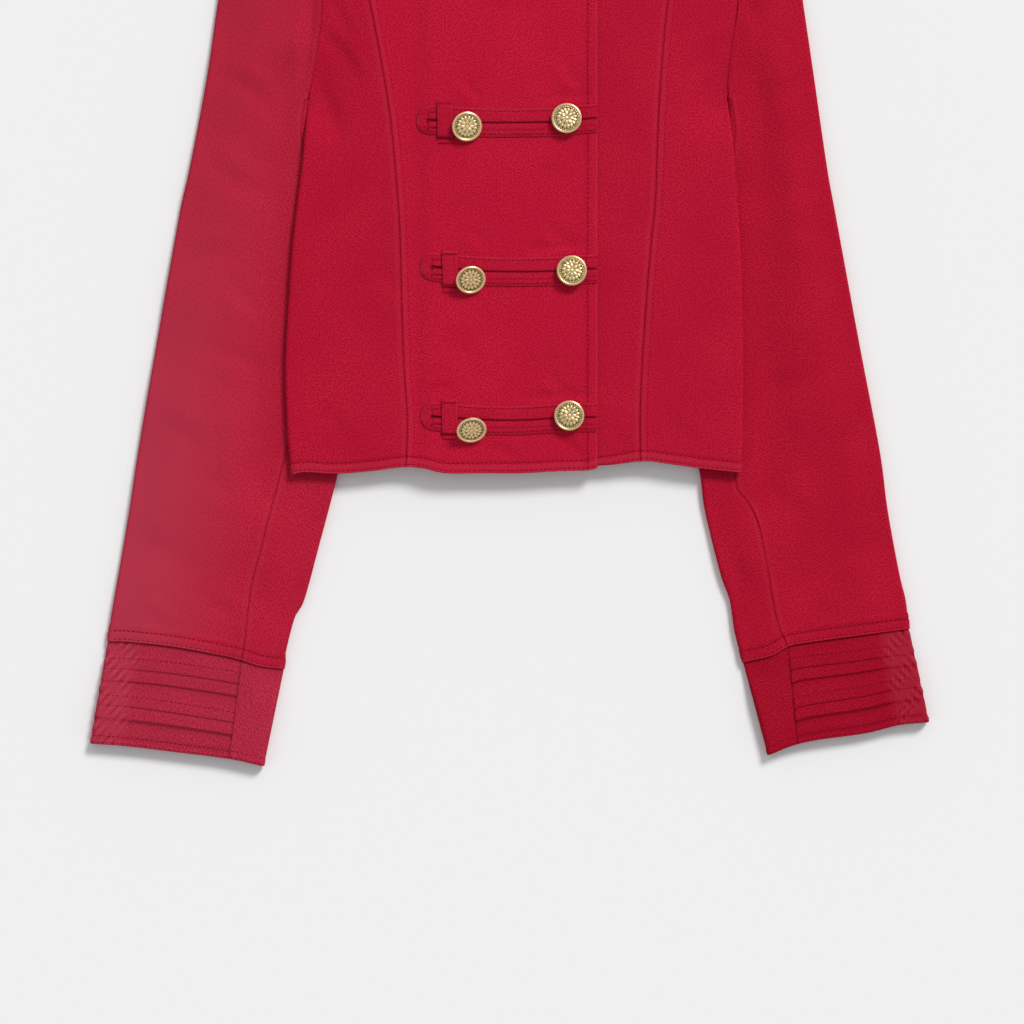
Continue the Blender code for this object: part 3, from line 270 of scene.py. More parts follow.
# Buttons: radii of the face's rings, radius and height down the edge, and points of the
# edge that can be highest when the button leans
CAP_RINGS = (0.5, 1.0, 1.5, 1.9, 2.4, 3.0, 3.6, 4.2, 4.8, 5.3, 5.8, 6.2, 6.5, 6.8, 7.1,
             7.4, 7.7, 8.0, 8.3, 8.6, 8.9, 9.3, 9.7, 10.0, 10.25)
CAP_EDGE = ((10.4, 1.7), (10.4, 1.3), (10.2, 0.8), (9.7, 0.3), (9.0, 0.05), (6.5, 0.0),
            (SHANK_RADIUS + 0.4, -0.05), (SHANK_RADIUS, -0.4))
CAP_STEPS = 112
SEATING = 1.0
CAP_CREST = ((9.3, 2.9), (10.1, 2.4), (10.4, 1.4))

STITCH_INPUTS = {"Geometry": "Geometry", "Pitch": "Float", "Length": "Float",
                 "Width": "Float", "Thread": "Material"}

# Floor, light and camera
FLOOR_HEIGHT = -0.2
FLOOR_REACH = 6.0
FLOOR_COLOUR = (0.86, 0.86, 0.865, 1.0)
SUN_FROM = (0.42, 0.62, 0.68)
SUN_STRENGTH = 2.3
SUN_SPREAD = 17.0
SUN_COLOUR = (1.0, 0.99, 0.975)
SKY_STRENGTH = 0.53
SKY_COLOUR = (0.98, 0.99, 1.0, 1.0)
VIEW_MIDDLE = (1.4, -158.6)
VIEW_HEIGHT = 2200.0
LENS = 110.0
TWILL_TURN = -53.7  # degrees
RECESS_BROWN = (0.10, 0.048, 0.017, 1.0)

# Creases: from, to, bend, width and depth; a trough with a ridge on its left
FRONT_CREASES = (
    ((-136, 182), (-103, 138), 3, 5, 1),
    ((-137, 160), (-112, 96), -4, 6, 0.8),
    ((-128, 205), (-112, 168), 2, 4, 0.6),
    ((157, 176), (122, 139), -4, 5.5, 0.9),
    ((154, 152), (136, 92), 4, 6.5, 0.8),
    ((150, 205), (131, 172), 2, 4.5, 0.5),
    ((58, 132), (20, 128.5), -2, 3.2, 0.7),
    ((52, 137), (36, 160), 2, 4.5, 0.5),
    ((-20, 127), (-38, 146), -2, 4, 0.4),
    ((58, 27), (10, 23), -1.5, 3, 0.8),
    ((48, 28), (22, 46), 3, 4.5, 0.45),
    ((-14, 23), (-34, 40), -2, 4, 0.4),
    ((58, -77), (8, -80.5), -1.5, 3, 0.8),
    ((-62, -76), (-36, -71), 1.5, 3, 0.5),
    ((46, -76), (24, -58), 3, 4.5, 0.4),
    ((-70, -8), (-92, 14), 2, 6, 0.5),
    ((-66, 96), (-92, 74), -3, 6.5, 0.5),
    ((-20, -112), (8, -121), 1, 4, 0.5),
    ((30, -106), (52, -121), 2, 4, 0.5),
    ((70, -98), (88, -116), -2, 4, 0.5),
    ((112, -20), (146, 6), 4, 8, 0.55),
    ((108, -92), (138, -110), -3, 6, 0.5),
    ((-140, -84), (-108, -112), 3, 6, 0.5),
    ((-148, -10), (-118, 22), -4, 8, 0.55),
    ((10, 60), (40, 82), 4, 9, 0.4),
    ((-40, 52), (-8, 70), -4, 9, 0.35),
    ((-60, -40), (-20, -54), 4, 9, 0.35),
    ((0, 190), (24, 228), 3, 7, 0.6),
    ((-30, 205), (-44, 240), -3, 7, 0.6),
    ((-90, 250), (-120, 285), 3, 7, 0.7),
    ((96, 250), (128, 284), -3, 7, 0.7),
)
SLEEVE_CREASES = {
    "right": (
        ((-206, 150), (-164, 118), 4, 7, 1.2),
        ((-214, 92), (-168, 62), -5, 8, 1.1),
        ((-232, 10), (-188, 22), 5, 8, 0.9),
        ((-170, -20), (-196, 6), 3, 6, 0.9),
        ((-166, -66), (-212, -44), -4, 7, 0.9),
        ((-252, -96), (-212, -118), 4, 8, 0.7),
        ((-186, -150), (-216, -128), 3, 7, 0.7),
        ((-262, -172), (-228, -190), -3, 8, 0.6),
        ((-160, -196), (-146, -172), 2, 5, 0.6),
        ((-170, 176), (-150, 204), 2, 6, 0.8),
        ((-150, 126), (-139, 228), -3, 4.6, 1.7),
        ((-196, 216), (-170, 250), -3, 7, 0.7),
        ((-216, -222), (-188, -236), 2, 6, 0.5),
        ((-262, -226), (-240, -240), 2, 5, 0.5),
    ),
    "left": (
        ((206, 146), (174, 112), -4, 7, 1.2),
        ((216, 84), (176, 58), 4, 8, 1),
        ((230, 30), (190, 38), -5, 8, 0.8),
        ((176, -26), (204, -2), -3, 6, 0.8),
        ((174, -84), (218, -60), 4, 7, 0.9),
        ((250, -104), (214, -122), -4, 8, 0.7),
        ((180, -140), (210, -160), -3, 7, 0.7),
        ((262, -176), (230, -190), 3, 8, 0.6),
        ((152, -186), (164, -210), 2, 5, 0.6),
        ((178, 172), (164, 204), -2, 6, 0.8),
        ((200, 214), (176, 246), 3, 7, 0.7),
        ((206, -218), (232, -230), -2, 6, 0.5),
    ),
}
BACK_CREASES = (
    ((-120, 150), (-70, 120), 5, 9, 0.5),
    ((128, 156), (80, 118), -5, 9, 0.5),
    ((-60, 260), (10, 252), 6, 10, 0.4),
    ((20, 60), (70, 84), -5, 11, 0.4),
    ((-70, 10), (-20, 30), 6, 11, 0.4),
    ((-40, -60), (20, -74), 5, 10, 0.4),
    ((40, -30), (76, -56), 4, 9, 0.4),
)


def smooth(share):
    """Ease from 0 to 1."""
    share = np.clip(share, 0.0, 1.0)
    return share * share * (3.0 - 2.0 * share)


def mix(first, second, share):
    return first + (second - first) * share


def curve(table, steps=9):
    """A smooth line through the points of a table, as close points."""
    points = np.array(table, float)
    padded = np.vstack([2 * points[0] - points[1], points, 2 * points[-1] - points[-2]])
    u = (np.arange(steps) / steps)[:, None]
    line = []
    for start in range(len(points) - 1):
        before, here, there, after = padded[start:start + 4]
        line.append(0.5 * (2 * here + (there - before) * u
                           + (2 * before - 5 * here + 4 * there - after) * u ** 2
                           + (3 * here - before - 3 * there + after) * u ** 3))
    return np.vstack(line + [points[-1:]])


def reach(line):
    """How far along a line each of its points is."""
    steps = np.hypot(*np.diff(line[:, :2], axis=0).T)
    return np.concatenate([[0.0], np.cumsum(steps)])


def walk(line, distances):
    """Points of a line at distances along it."""
    marks = reach(line)
    return np.stack([np.interp(distances, marks, line[:, axis]) for axis in (0, 1)], axis=-1)


def at(line, share):
    """Points of a line at shares of its length."""
    return walk(line, np.asarray(share) * reach(line)[-1])


def nearest(line, x, y):
    """Distance from points to a line, and how far along the line that is."""
    best = np.full(np.shape(x), 1e9)
    along = np.zeros(np.shape(x))
    for (ax, ay), (bx, by), mark in zip(line, line[1:], reach(line)):
        dx, dy = bx - ax, by - ay
        size = max(dx * dx + dy * dy, 1e-12)
        share = np.clip(((x - ax) * dx + (y - ay) * dy) / size, 0.0, 1.0)
        gap = np.hypot(x - ax - dx * share, y - ay - dy * share)
        closer = gap < best
        best = np.where(closer, gap, best)
        along = np.where(closer, mark + share * math.sqrt(size), along)
    return best, along


def gap_to(line, x, y):
    """Distance from points to a line."""
    return nearest(line, x, y)[0]


def inset(line, distance):
    """A line moved to the left of its direction."""
    along = np.gradient(line, axis=0)
    along /= np.hypot(along[:, 0], along[:, 1])[:, None]
    return line + np.stack([-along[:, 1], along[:, 0]], axis=-1) * distance


def part_of(line, start, end, count=60):
    """The stretch of a line between the places nearest to two points."""
    first = nearest(line, *start)[1]
    last = nearest(line, *end)[1]
    return walk(line, np.linspace(first, last, count))


def edge_x(line, y):
    """Where a line that only rises or falls passes a height of the plan."""
    order = np.argsort(line[:, 1])
    return np.interp(y, line[order, 1], line[order, 0])


def both(table):
    """The smooth line of each side, from a table with both."""
    return {side: curve(points) for side, points in table.items()}


SIDE_LINE = both(SIDE_EDGE)
ARM_LINE = both(ARMHOLE)
PRINCESS_LINE = both(PRINCESS_SEAM)
OUTER_LINE = both(SLEEVE_OUTER)
INNER_LINE = both(SLEEVE_INNER)
SEAM_LINE = both(FRONT_SLEEVE_SEAM)
CUFF_TOP_LINE = both(CUFF_TOP)
CUFF_END_LINE = both(CUFF_END)
SHOULDER_LINE = {side: np.array(SHOULDER[side]) for side in SIDES}
NECK_LINE = curve(FRONT_NECK)
BACK_NECK_LINE = curve(BACK_NECK)
HEM_LINE = curve(FRONT_HEM)
UNDERARM_Y = SIDE_EDGE["right"][-1][1]


def marked(gap, place, width, amount):
    """A soft line at a distance from an edge or a seam."""
    return amount * np.exp(-((gap - place) / width) ** 2)


def turned(gap, width, ease, rise):
    """The step of cloth turned in along an edge, as high as its allowance is wide."""
    return rise * (1.0 - smooth((gap - width) / ease))


def fold_rise(gap, start=FOLD_START):
    """How far up the round of a folded edge a point is, by its distance from the edge."""
    share = np.clip(gap / FOLD_RADIUS, 0.0, 1.0)
    return np.maximum(start, (1.0 - (1.0 - share) ** FOLD_POWER) ** (1.0 / FOLD_POWER))


def side_middle(y):
    """Height of the middle of the body's side edge, which climbs over the sleeve."""
    return mix(FOLD_MIDDLE, SIDE_MIDDLE, smooth((UNDERARM_Y - y) / SIDE_CLIMB))


def armhole_height(side, along):
    """Height of the front armhole seam, low at the shoulder and at the underarm."""
    end = reach(ARM_LINE[side])[-1] - along
    return mix(FOLD_TOP, ARMHOLE_TOP, smooth(np.minimum(along, end) / ARMHOLE_SHAPE))


def waves(x, y):
    """Slow unevenness of laid cloth."""
    return (0.16 * np.sin(x / 13.0 + y / 21.0 + 0.4) + 0.14 * np.sin(y / 11.0 - x / 29.0)
            + 0.10 * np.sin(x / 7.3 - y / 15.0 + 1.7) * np.sin(y / 23.0 + 0.3))


def creased(x, y, creases):
    """Troughs with a soft ridge on their left, fading out at both ends."""
    relief = np.zeros(np.shape(x))
    for (x0, y0), (x1, y1), bend, width, depth in creases:
        size = math.hypot(x1 - x0, y1 - y0)
        dx, dy = (x1 - x0) / size, (y1 - y0) / size
        share = ((x - x0) * dx + (y - y0) * dy) / size
        fade = np.sin(math.pi * np.clip(share, 0.0, 1.0)) ** 0.8
        aside = (y - y0) * dx - (x - x0) * dy - bend * 4.0 * share * (1.0 - share)
        trough = np.exp(-(aside / width) ** 2)
        ridge = np.exp(-((aside - 1.5 * width) / width) ** 2)
        relief += depth * fade * (0.65 * ridge - trough)
    return relief


def front_height(x, y):
    """Height of the lower front layer, blended from its edges to the chest."""
    inner = mix(CHEST_TOP, SHOULDER_TOP, smooth((y - CHEST_Y) / CHEST_EASE))
    inner = inner + WAVE * np.sin(x / 37.0 + 0.6) * np.cos(y / 61.0)
    found = np.zeros(np.shape(x))
    for side, out in SIDES.items():
        by_side, up_side = nearest(SIDE_LINE[side], x, y)
        by_arm, up_arm = nearest(ARM_LINE[side], x, y)
        gaps = [by_side, by_arm, gap_to(SHOULDER_LINE[side], x, y)]
        heights = [FOLD_RADIUS + side_middle(walk(SIDE_LINE[side], up_side)[..., 1]),
                   armhole_height(side, up_arm), FOLD_TOP]
        least = np.min(gaps, axis=0)
        shares = [np.exp((least - gap) / EDGE_BLEND) for gap in gaps]
        edge = sum(s * h for s, h in zip(shares, heights)) / sum(shares)
        found = np.where(x * out >= 0.0, mix(edge, inner, smooth(least / EDGE_REACH)), found)
    return found


def over_height(x, y):
    """Height of the front that lies on top, lifted where it overlaps the other."""
    lift = smooth((x - (UNDERLAP_X - OVERLAP_CLEARANCE - OVERLAP_RAMP)) / OVERLAP_RAMP)
    return front_height(x, y) + OVERLAP_LIFT * lift


def front_relief(x, y):
    """Creases, waves and turned edges on the outside of the fronts."""
    by_tabs = smooth((TAB_ZONE - np.abs(x - TAB_ZONE_MIDDLE)) / TAB_ZONE_EASE)
    relief = creased(x, y, FRONT_CREASES) * (1.0 + 0.7 * by_tabs) + waves(x, y) * 1.3
    hem = gap_to(HEM_LINE, x, y)
    relief = relief + turned(hem, 8.2, 1.2, 0.6)
    return relief - marked(hem, HEM_ROW, 0.8, 0.42) - marked(hem, EDGE_ROW, 0.7, 0.3)


def beside_seam(x, y, line):
    """The cloth turned in beside a seam, which shows as a low band and a stitched dip."""
    gap = gap_to(line, x, y)
    across = gap_to(inset(line, 1.0), x, y) - gap_to(inset(line, -1.0), x, y)
    band = smooth(gap / 0.9) * turned(gap, 5.6, 1.3, 0.35)
    return (band - marked(gap, SEAM_ROW, 0.6, 0.22)) * (across > 0.0)


def sleeve_height(side, x, y, along):
    """Height of a sleeve's upper layer: full outside the body, pressed under it."""
    out = SIDES[side]
    hem_y = SIDE_LINE[side][0][1]
    beyond = x * out - edge_x(SIDE_LINE[side], np.minimum(y, UNDERARM_Y)) * out
    beside = np.minimum(gap_to(SIDE_LINE[side], x, y), PRESS_MOST)
    free = np.where(y < UNDERARM_Y, beyond, beside)
    free = np.where(y < hem_y, np.hypot(np.maximum(beyond, 0.0), hem_y - y), free)
    height = mix(FOLD_TOP, SLEEVE_TOP, smooth((free - PRESS_START) / PRESS_REACH))
    for line, most in ((OUTER_LINE[side], OUTER_TOP), (INNER_LINE[side], FOLD_TOP)):
        height = mix(np.minimum(height, most), height, smooth(gap_to(line, x, y) / PRESS_REACH))
    by_arm, mark = nearest(ARM_LINE[side], x, y)
    by_seam = mix(armhole_height(side, mark), height, smooth(by_arm / ARMHOLE_REACH))
    height = np.where(y > UNDERARM_Y - ARMHOLE_REACH, by_seam, height)
    loose = smooth((free - PRESS_START) / LOOSE_REACH)
    height = height - 0.9 * np.sin(along * 23.0) ** 2 * smooth(along * 8.0) * loose
    return height + loose * (creased(x, y, SLEEVE_CREASES[side]) + waves(x, y))


def joined(*parts):
    """An edge made of lines one after another; each ends at a share of the whole."""
    def point(share):
        share = np.asarray(share, float)
        found = np.zeros(share.shape + (2,))
        start = 0.0
        for line, stop in parts:
            here = (share >= start - 1e-9) & (share <= stop + 1e-9)
            found[here] = at(line, (share[here] - start) / (stop - start))
            start = stop
        return found
    return point


def stations(total, start, end, breaks=(), step=STEP):
    """Shares of a length: close at its ends, even between, and one at each break."""
    marks = {"fold": FOLD_MARKS, "seam": SEAM_MARKS}
    first = marks[start]
    last = total - marks[end][::-1]
    stops = [first[-1], *breaks, last[0]]
    between = [np.linspace(a, b, max(2, int(round((b - a) / step)) + 1))[1:]
               for a, b in zip(stops, stops[1:])]
    return np.concatenate([first, *between, last[1:]]) / total


def relaxed(grid, rounds=500):
    """Even out the inside points of a plan grid, so that it folds over nowhere."""
    for _ in range(rounds):
        across = (grid[1:-1, 2:] - grid[1:-1, :-2]) / 2
        upward = (grid[2:, 1:-1] - grid[:-2, 1:-1]) / 2
        twist = (grid[2:, 2:] - grid[2:, :-2] - grid[:-2, 2:] + grid[:-2, :-2]) / 4
        wide = (upward ** 2).sum(-1, keepdims=True)
        high = (across ** 2).sum(-1, keepdims=True)
        lean = (across * upward).sum(-1, keepdims=True)
        total = ((grid[1:-1, 2:] + grid[1:-1, :-2]) * wide
                 + (grid[2:, 1:-1] + grid[:-2, 1:-1]) * high - twist * lean * 2)
        moved = total / (2 * (wide + high))
        grid[1:-1, 1:-1] = mix(grid[1:-1, 1:-1], moved, 0.9)
    return grid


def plan_grid(bottom, top, left, right, across, upward, relax=False):
    """Plan points between four edges, as lines or functions; rows run from bottom to top."""
    def blended(s, t):
        low, high, near, far = (edge(share) if callable(edge) else at(edge, share)
                                for edge, share in ((bottom, s), (top, s), (left, t), (right, t)))
        low, high, near, far = low[None], high[None], near[:, None], far[:, None]
        s, t = s[None, :, None], t[:, None, None]
        corners = ((low[:, :1] * (1 - s) + low[:, -1:] * s) * (1 - t)
                   + (high[:, :1] * (1 - s) + high[:, -1:] * s) * t)
        return low * (1 - t) + high * t + near * (1 - s) + far * s - corners

    grid = blended(across, upward)
    if relax:
        s, t = np.linspace(0.0, 1.0, 19), np.linspace(0.0, 1.0, 29)
        coarse = blended(s, t)
        shift = relaxed(coarse.copy()) - coarse
        for axis in (0, 1):
            rows = np.stack([np.interp(across, s, row) for row in shift[..., axis]])
            grid[..., axis] += np.stack([np.interp(upward, t, column) for column in rows.T], 1)
    return grid


def raised(grid, height):
    """A plan grid given its heights."""
    return np.concatenate([grid, height[..., None]], axis=-1)


def grid_normals(grid):
    across = np.gradient(grid, axis=1)
    upward = np.gradient(grid, axis=0)
    normals = np.cross(across, upward)
    return normals / np.maximum(np.linalg.norm(normals, axis=-1, keepdims=True), 1e-9)


def border_of(rows, columns):
    """Places round the edge of a grid, anticlockwise from its first corner."""
    return np.array([(0, i) for i in range(columns)] + [(j, columns - 1) for j in range(1, rows)]
                    + [(rows - 1, i) for i in range(columns - 2, -1, -1)]
                    + [(j, 0) for j in range(rows - 2, 0, -1)])


def new_piece(name, points, faces, edges=()):
    """A new object at the origin, from points in metres."""
    mesh = bpy.data.meshes.new(name)
    mesh.from_pydata(points, edges, faces)
    made = bpy.data.objects.new(name, mesh)
    bpy.context.scene.collection.objects.link(made)
    return made


def dressed(made, node, finish, wear_and_painted_light):
    """A piece with its finish, its wear and its painted shade and sheen, in place of a node."""
    made.data.attributes.new("painted_light_and_wear", "FLOAT", "POINT").data.foreach_set("value", wear_and_painted_light)
    made.data.shade_smooth()
    made.data.materials.append(finish)
    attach(made, "root")
    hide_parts(node)
    return made


def closed_sheet(node, kind, outer, inner, uv, finish, wear_and_painted_light):
    """A closed sheet between two grids, with a rounded rim."""
    rows, columns = outer.shape[:2]
    count = rows * columns
    number = np.arange(count).reshape(rows, columns)
    a, b = number[:-1, :-1].ravel(), number[:-1, 1:].ravel()
    c, d = number[1:, 1:].ravel(), number[1:, :-1].ravel()
    faces = np.stack([a, b, c, d], 1).tolist() + (np.stack([a, d, c, b], 1) + count).tolist()
    border = tuple(border_of(rows, columns).T)
    edge_out, edge_in = outer[border], inner[border]
    middle = (edge_out + edge_in) / 2
    away = np.cross(np.roll(middle, -1, axis=0) - np.roll(middle, 1, axis=0), edge_out - edge_in)
    away /= np.maximum(np.linalg.norm(away, axis=1, keepdims=True), 1e-9)
    points = np.vstack([outer.reshape(-1, 3), inner.reshape(-1, 3), middle + away * RIM])
    here, mid = number[border], 2 * count + np.arange(len(middle))
    there, next_mid = np.roll(here, -1), np.roll(mid, -1)
    faces += np.stack([np.stack([mid, next_mid, there, here], 1),
                       np.stack([here + count, there + count, next_mid, mid], 1)],
                      1).reshape(-1, 4).tolist()
    made = new_piece("%s_%s" % (node, kind), (points * MM).tolist(), faces)
    spread = np.vstack([uv.reshape(-1, 2), uv.reshape(-1, 2), uv[border]])
    loops = np.zeros(len(made.data.loops), np.int32)
    made.data.loops.foreach_get("vertex_index", loops)
    layer = made.data.uv_layers.new(name="weave")
    layer.data.foreach_set("uv", spread[loops].ravel())
    painted_light_and_wear = np.zeros(len(points))
    painted_light_and_wear[:count] = np.broadcast_to(wear_and_painted_light, outer.shape[:2]).ravel()
    dressed(made, node, finish, painted_light_and_wear)
    return made


def cloth(node, side, grid, finish, relief, wear_and_painted_light=0.0, turn=0.0, facing=1.0):
    """A thin shell on a grid in place of a node; columns run away from the side edge."""
    relief, wear_and_painted_light = (np.broadcast_to(marks, grid.shape[:2]) for marks in (relief, wear_and_painted_light))
    if side == "left":
        grid, relief, wear_and_painted_light = grid[:, ::-1], relief[:, ::-1], wear_and_painted_light[:, ::-1]
    normals = grid_normals(grid) * facing
    outer = grid + normals * (SHEET / 2 + relief[..., None])
    inner = grid - normals * SHEET / 2
    turn = math.radians(turn)
    uv = grid[..., :2] @ np.array(((math.cos(turn), math.sin(turn)),
                                   (-math.sin(turn), math.cos(turn))))
    if facing < 0.0:
        outer, inner, uv = outer[:, ::-1], inner[:, ::-1], uv[:, ::-1]
    return closed_sheet(node, "cloth", outer, inner, uv, finish, wear_and_painted_light)


def side_fold(side, x, y):
    """How far up the round of the body's side edge each point is."""
    return fold_rise(gap_to(SIDE_LINE[side], x, y))


def shoulder_fold(side, x, y, neck):
    """The same at the shoulder, easing to an open edge along the neck."""
    rise = fold_rise(gap_to(SHOULDER_LINE[side], x, y))
    gap, along = nearest(neck, x, y)
    along = np.minimum(along, reach(neck)[-1] - along)
    weight = 1.0 - smooth((along + NECK_OPEN) / NECK_EASE)
    return np.minimum(rise, 1.0 - weight * (1.0 - fold_rise(gap)))


def arm_edge(side, start, end, count):
    """A stretch of the armhole, half a seam's gap in from it."""
    return inset(walk(ARM_LINE[side], np.linspace(start, end, count)), SIDES[side] * SEAM_GAP / 2)


def side_front(side, finish):
    """The narrow front piece from the folded side edge to the princess seam."""
    arm, seam, edge = ARM_LINE[side], PRINCESS_LINE[side], SIDE_LINE[side]
    half = SIDES[side] * SEAM_GAP / 2
    tip = nearest(arm, *PRINCESS_SEAM[side][-1])[1]
    arm_up = arm_edge(side, reach(arm)[-1], tip + SEAM_TIP, 70)
    level = nearest(seam, np.interp(UNDERARM_Y, seam[:, 1], seam[:, 0]), UNDERARM_Y)[1]
    low = inset(walk(seam, np.linspace(0.0, level, 90)), -half)
    high = inset(walk(seam, np.linspace(level, reach(seam)[-1] - SEAM_TIP, 70)), -half)
    high[0], arm_up[0] = low[-1], edge[-1]
    size = reach(edge)[-1] + reach(arm_up)[-1]
    corner = reach(edge)[-1] / size
    hem = part_of(HEM_LINE, edge[0], low[0])
    hem[0], hem[-1] = edge[0], low[0]
    plan = plan_grid(hem, np.stack([arm_up[-1], high[-1]]),
                     joined((edge, corner), (arm_up, 1.0)), joined((low, corner), (high, 1.0)),
                     stations(SIDE_WIDTH, "fold", "seam"),
                     stations(size, "seam", "seam", breaks=(corner * size,)))
    x, y = plan[..., 0], plan[..., 1]
    height = mix(side_middle(y), front_height(x, y), side_fold(side, x, y))
    relief = front_relief(x, y) - marked(gap_to(seam, x, y), 0.0, 0.8, 0.2)
    if side == "left":
        relief = relief + beside_seam(x, y, seam)
    return cloth("front_side_" + side, side, raised(plan, height), finish, relief,
                 front_shade_and_wear(x, y))


def front_shade_and_wear(x, y):
    """Painted shade along the stitched rows and seams of the fronts, and their paler rubbed hem
    edge.
    """
    hem = gap_to(HEM_LINE, x, y)
    wear_and_painted_light = marked(hem, HEM_ROW, 0.9, -0.35) + marked(hem, 0.0, 0.9, 0.5)
    wear_and_painted_light = wear_and_painted_light + marked(hem, 3.8, 2.0, 0.35)
    for side in SIDES:
        seam = gap_to(PRINCESS_LINE[side], x, y)
        # Painted shade along each princess seam and armhole seam, and a paler rubbed band beside
        # the princess seam.
        wear_and_painted_light = wear_and_painted_light + marked(seam, 0.0, 0.7, -0.40) + marked(seam, 2.2, 1.3, 0.22)
        wear_and_painted_light = wear_and_painted_light + marked(gap_to(ARM_LINE[side], x, y), 0.0, 0.7, -0.3)
    return wear_and_painted_light


def centre_front(side, finish):
    """The front piece from the princess seam to the front edge, up to the neck."""
    over = side == "right"
    out, seam = SIDES[side], PRINCESS_LINE[side]
    tip = nearest(ARM_LINE[side], *PRINCESS_SEAM[side][-1])[1]
    low = inset(walk(seam, np.linspace(0.0, reach(seam)[-1] - SEAM_TIP, 150)), out * SEAM_GAP / 2)
    high = arm_edge(side, tip, 0.0, 50)
    high[0] = mix(low[-1], high[1], 0.4)
    left = np.vstack([low, high])
    edge_at = FRONT_EDGE_X if over else UNDERLAP_X
    hem = part_of(HEM_LINE, left[0], (edge_at, BACK_HEM_Y))
    if not over:
        hem[:, 1] += HIDDEN_HEM_RISE * smooth(np.abs(hem[:, 0] - left[0, 0]) / 40.0)
    hem[0] = left[0]
    neck = NECK_LINE if over else NECK_LINE[::-1]
    beyond = (neck[:, 0] - BODY_MIDDLE) * out <= 0.0
    stop = np.argmin(np.where(beyond, np.abs(neck[:, 0] - edge_at), 1e9))
    shoulder = SHOULDER_LINE[side].copy()
    shoulder[0] = left[-1]
    top = np.vstack([shoulder, neck[1:stop + 1]])
    top[-1, 0] = edge_at
    edge = np.stack([hem[-1], top[-1]])
    hem[-1, 0] = edge[0, 0] = edge_at
    across = stations(reach(top)[-1], "seam", "seam", breaks=(reach(shoulder)[-1],),
                      step=CENTRE_STEP)
    upward = stations(reach(left)[-1], "seam", "fold", step=CENTRE_STEP)
    plan = plan_grid(hem, top, left, edge, across, upward, relax=True)
    x, y = plan[..., 0], plan[..., 1]
    lie = over_height if over else front_height
    height = mix(FOLD_MIDDLE, lie(x, y), shoulder_fold(side, x, y, NECK_LINE))
    relief = front_relief(x, y) * (1.0 if over else 0.8)
    relief = relief - marked(gap_to(seam, x, y), 0.0, 0.8, 0.2)
    wear_and_painted_light = front_shade_and_wear(x, y)
    if over:
        gap = edge_at - x
        # Painted shade along the front edge's stitched row; the front edge itself is paler,
        # rubbed.
        wear_and_painted_light = wear_and_painted_light + marked(gap, FRONT_ROW, 0.8, -0.3) + marked(gap, 0.0, 0.9, 0.35)
        relief = relief + turned(gap, 8.0, 1.0, 0.35) - marked(gap, FRONT_ROW, 0.6, 0.25)
        relief = relief + beside_seam(x, y, seam)
    relief = relief + turned(gap_to(NECK_LINE, x, y), 7.0, 1.2, 0.35)
    return cloth("front_centre_" + side, side, raised(plan, height), finish, relief, wear_and_painted_light)


def back_height(x, y):
    """Height of the back: flat where it rests, with ramps over the sleeves."""
    found = np.zeros(np.shape(x))
    for side, out in SIDES.items():
        middle = side_middle(y)
        body = np.abs(edge_x(SIDE_LINE[side], np.minimum(y, UNDERARM_Y)))
        head = np.minimum(np.abs(edge_x(INNER_LINE[side], y)) - RAMP_CLEARANCE, body - RAMP_EDGE)
        down = np.where(y < UNDERARM_Y, smooth((head - np.abs(x)) / RAMP), 1.0)
        low = mix(middle - FOLD_RADIUS, REST, down)
        rise = np.minimum(side_fold(side, x, y), shoulder_fold(side, x, y, BACK_NECK_LINE))
        found = np.where(x * out >= 0.0, mix(middle, low, rise), found)
    return found


def back(finish):
    """The whole back in one piece, its outer side down."""
    edges, corners, sizes, tops = {}, {}, {}, {}
    for side, line in SIDE_LINE.items():
        arm_up = arm_edge(side, reach(ARM_LINE[side])[-1], 0.0, 90)
        arm_up[0] = line[-1]
        corners[side] = reach(line)[-1]
        sizes[side] = corners[side] + reach(arm_up)[-1]
        edges[side] = joined((line, corners[side] / sizes[side]), (arm_up, 1.0))
        tops[side] = arm_up[-1]
    start, end = SIDE_LINE["right"][0], SIDE_LINE["left"][0]
    x = np.linspace(start[0], end[0], 80)
    away = smooth(np.minimum(x - start[0], end[0] - x) / 12.0)
    hem = np.stack([x, np.interp(x, HEM_LINE[:, 0], HEM_LINE[:, 1]) + HIDDEN_HEM_RISE * away], 1)
    top = np.vstack([tops["right"], BACK_NECK_LINE, tops["left"]])
    size = (sizes["right"] + sizes["left"]) / 2
    across = stations(reach(top)[-1], "fold", "fold", step=BACK_STEP)
    upward = stations(size, "seam", "fold", breaks=(corners["right"],), step=BACK_STEP)

    def edge(side):
        bends = (0.0, corners[side] / sizes[side], 1.0)
        return lambda t: edges[side](np.interp(t, (0.0, corners["right"] / size, 1.0), bends))

    plan = plan_grid(hem, top, edge("right"), edge("left"), across, upward)
    x, y = plan[..., 0], plan[..., 1]
    relief = np.minimum(creased(x, y, BACK_CREASES), 0.0)
    return cloth("back", "right", raised(plan, back_height(x, y)), finish, relief, facing=-1.0)


def eased(line, side):
    """An armhole line of a sleeve, set out from the body, more so at both ends."""
    out = SIDES[side]
    along = nearest(ARM_LINE[side], line[:, 0], line[:, 1])[1]
    moved = inset(line, out * SEAM_GAP / 2)
    top = SHOULDER_EASE * (1.0 - smooth(along / EASE_REACH))
    low = UNDERARM_EASE * (1.0 - smooth((reach(ARM_LINE[side])[-1] - along) / EASE_REACH))
    moved[:, 0] += out * (top * 0.74 + low)
    moved[:, 1] -= top * 0.67
    return moved


def cuff_seams(side, share):
    """Where a cuff's seam is across it, as shares of its width, at shares of its depth."""
    top_line, end_line = CUFF_TOP_LINE[side], CUFF_END_LINE[side]
    first = nearest(top_line, *SEAM_LINE[side][-1])[1] / reach(top_line)[-1]
    last = nearest(end_line, *CUFF_SEAM_END[side])[1] / reach(end_line)[-1]
    return mix(first, last, share)


